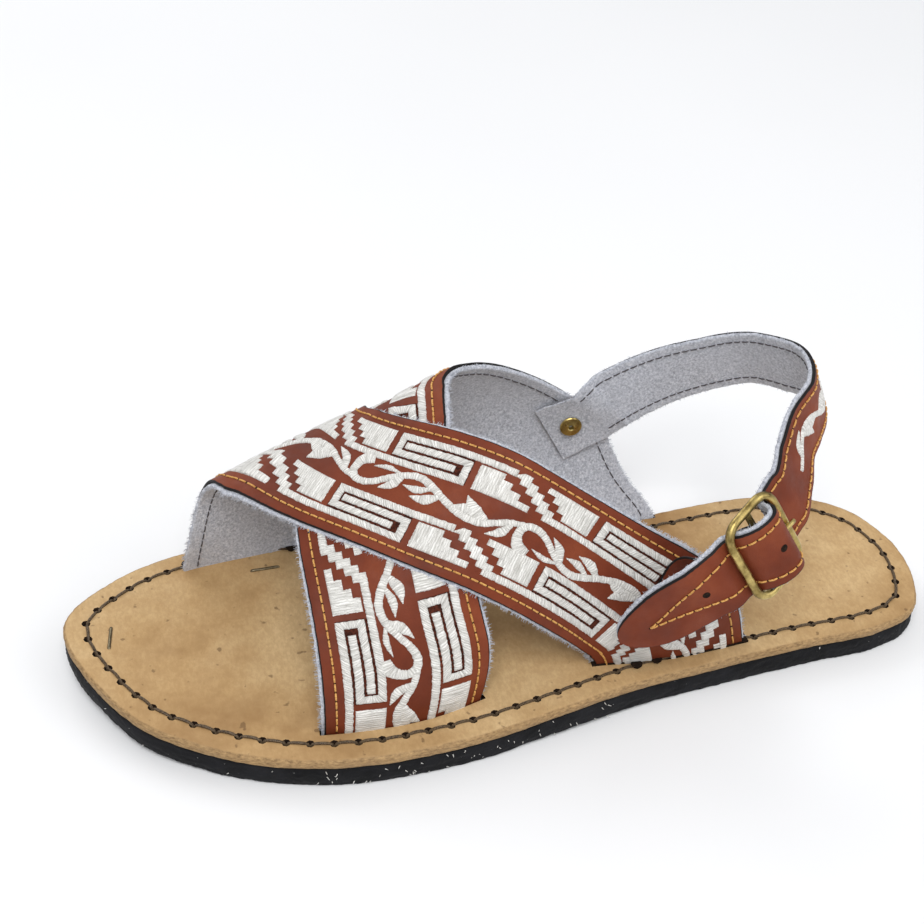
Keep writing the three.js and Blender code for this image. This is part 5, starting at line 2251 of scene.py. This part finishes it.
@dataclass
class Outsole:
    """The tyre-rubber outsole: a rough cut side, a sewn underside and cord ends."""

    sole: Sole
    inset: float = 12.0
    pitch: float = 8.0
    ball_stretch: tuple[float, float] = (-20.0, 75.0)

    def build(self) -> None:
        """Build the outsole and what shows in it."""
        slab = SoleSlab(self.sole, 420)
        self._body(slab)
        self._underside(slab)
        self._fibres(slab)

    def _body(self, slab: SoleSlab) -> None:
        """Make the slab with its rough side.

        Args:
            slab: The outline.
        """
        side = [(0.55 - 0.5 * math.sin(math.pi * k / 14), k / 14, 1.0) for k in range(1, 14)]
        insets = [(11.0, 0, 0), (10.5, 0, 0), (3.0, 0, 0), (1.2, 0.0, 0.4)] + side
        insets += [(1.1, 1, 0.4), (3.0, 1, 0), (10.5, 1, 0), (11.0, 1, 0)]

        def rough(places: Array, share: float) -> Array:
            """A side torn in three grades, each with its depth, seed, seed's change and waves."""
            grades = ((0.35, 1.0, 2, 0.09), (0.22, 5.0, 6, 0.4), (0.16, 12.0, 21, 0.95))
            return sum(depth * wander(places, seed + share * change, waves)
                       for depth, seed, change, waves in grades)

        rings, marks = slab.rings(0.0, self.sole.outsole, insets, rough)
        pile = Pile(sharp=70, weld=SPINE_WELD, level=True)
        pile.add(rings, marks, closed=True)
        finish_piece(pile, "outsole_body", RUBBER, "outsole_rubber", ("outsole",))

    def _under(self, x: Array) -> Array:
        """Height of the underside at X."""
        return self.sole.lift(x / self.sole.length + 0.5)

    def _underside(self, slab: SoleSlab) -> None:
        """Sew the sunk stitches of the underside.

        Args:
            slab: The outline.
        """
        spots = slab.spots(self.inset, self.pitch)
        pile = Pile()
        shares = np.array([0.04, 0.2, 0.5, 0.8, 0.9])
        rises = np.array([1.0, 0.25, 0.18, 0.25, 1.0])
        for first, second in zip(spots, np.roll(spots, -1, axis=0)):
            sew(pile, first, second, shares, rises, self._under)
        finish_piece(pile, "outsole_stitches", GREY_THREAD, "outsole_rubber")

    def _fibres(self, slab: SoleSlab) -> None:
        """Let cord ends stand out of the cut side, most of them by the ball.

        Args:
            slab: The outline.
        """
        loop = slab.loop(0)
        way = unit(np.roll(loop, -1, axis=0) - np.roll(loop, 1, axis=0))
        outward = np.stack([way[:, 1], -way[:, 0]], -1)
        rng = random.Random(21)
        pile = Pile()
        rear, front = self.ball_stretch
        ball = [i for i, (x, y) in enumerate(loop) if y > 0 and rear < x < front]
        for count, pool in ((40, ball), (18, list(range(len(loop))))):
            for _ in range(count):
                i = rng.choice(pool)
                at = loop[i, 0] / self.sole.length + 0.5
                height = float(self.sole.lift(np.array(at))) + rng.uniform(0.8, self.sole.outsole - 0.6)
                start = np.array([*(loop[i] - outward[i] * 0.6), height])
                lean = np.array([*(outward[i] * rng.uniform(0.6, 1.3) + way[i] * rng.uniform(-0.9, 0.9)),
                                 rng.uniform(-0.6, 0.6)])
                line = np.array([start, start + lean * 0.6, start + lean * rng.uniform(0.9, 1.4)])
                add_wire(pile, line, np.array([0.16, 0.14, 0.07]), 4)
        finish_piece(pile, "outsole_fibres", WHITE_FIBRE, "outsole_rubber")


@dataclass
class Studio:
    """Floor, light and camera."""

    azimuth: float = 163.706
    elevation: float = 37.963
    roll: float = 3.327
    distance: float = 573.283
    focal_px: float = 1500.0
    frame_px: float = 924.0
    sensor: float = 36.0
    target: tuple[float, float, float] = (-7.56, -94.23, 0.0)
    sky: Colour = (0.95, 0.97, 1.0, 1.0)
    sky_strength: float = 0.58
    lamps: tuple[tuple[str, tuple[float, float, float], float, float], ...] = (
        ("key", (0.25, 0.75, 1.35), 0.8, 13.5), ("fill", (-1.1, 0.6, 0.9), 1.1, 5.0),
        ("back", (0.5, -1.2, 1.0), 1.0, 7.0),
    )

    def build(self) -> None:
        """Build all three."""
        self._floor()
        self._lights()
        self._camera()

    def _floor(self) -> None:
        """A wide pale floor."""
        bm = bmesh.new()
        bmesh.ops.create_grid(bm, x_segments=1, y_segments=1, size=4.0)
        mesh = bpy.data.meshes.new("floor")
        bm.to_mesh(mesh)
        bm.free()
        mesh.materials.append(FloorFinish().material())
        floor = bpy.data.objects.new("floor", mesh)
        bpy.context.scene.collection.objects.link(floor)

    def _lights(self) -> None:
        """A pale surround and three soft lamps."""
        world = bpy.data.worlds.new("studio")
        world.use_nodes = True
        backdrop = world.node_tree.nodes["Background"]
        backdrop.inputs["Color"].default_value = self.sky
        backdrop.inputs["Strength"].default_value = self.sky_strength
        bpy.context.scene.world = world
        bpy.context.scene.view_settings.view_transform = "Standard"
        for name, place, size, power in self.lamps:
            data = bpy.data.lights.new(name, "AREA")
            data.size = size
            data.energy = power
            lamp = bpy.data.objects.new(name, data)
            lamp.location = place
            way = Vector((0, 0, 0.03)) - Vector(place)
            lamp.rotation_euler = way.to_track_quat("-Z", "Y").to_euler()
            bpy.context.scene.collection.objects.link(lamp)

    def _camera(self) -> None:
        """The camera at the photograph's angle, rolled a little."""
        az, el, roll = (math.radians(v) for v in (self.azimuth, self.elevation, self.roll))
        back = Vector((math.sin(az) * math.cos(el), -math.cos(az) * math.cos(el), math.sin(el)))
        right = Vector((math.cos(az), math.sin(az), 0))
        up = back.cross(right)
        turned_right = right * math.cos(roll) + up * math.sin(roll)
        turned_up = -right * math.sin(roll) + up * math.cos(roll)
        place = (Vector(self.target) + back * self.distance) * MM
        data = bpy.data.cameras.new("camera")
        data.sensor_width = self.sensor
        data.lens = self.focal_px / self.frame_px * self.sensor
        data.clip_start = 0.01
        camera = bpy.data.objects.new("camera", data)
        turn = Matrix((turned_right, turned_up, back)).transposed().to_4x4()
        camera.matrix_world = Matrix.Translation(place) @ turn
        bpy.context.scene.collection.objects.link(camera)
        bpy.context.scene.camera = camera


def main() -> None:
    """Build the studio and every piece of the sandal in order."""
    logging.basicConfig(level=logging.INFO, format="%(message)s")
    Studio().build()
    sole = Sole()
    last = Last(sole)
    buckle = Buckle(sole)
    upper = Upper(last)
    builders = [Outsole(sole), Insole(sole, last, upper), upper, HeelStrap(last, buckle),
                BucklePieces(last, buckle), Rivet(last)]
    for builder in builders:
        LOG.info("building %s", type(builder).__name__)
        builder.build()


if __name__ == "__main__":
    main()
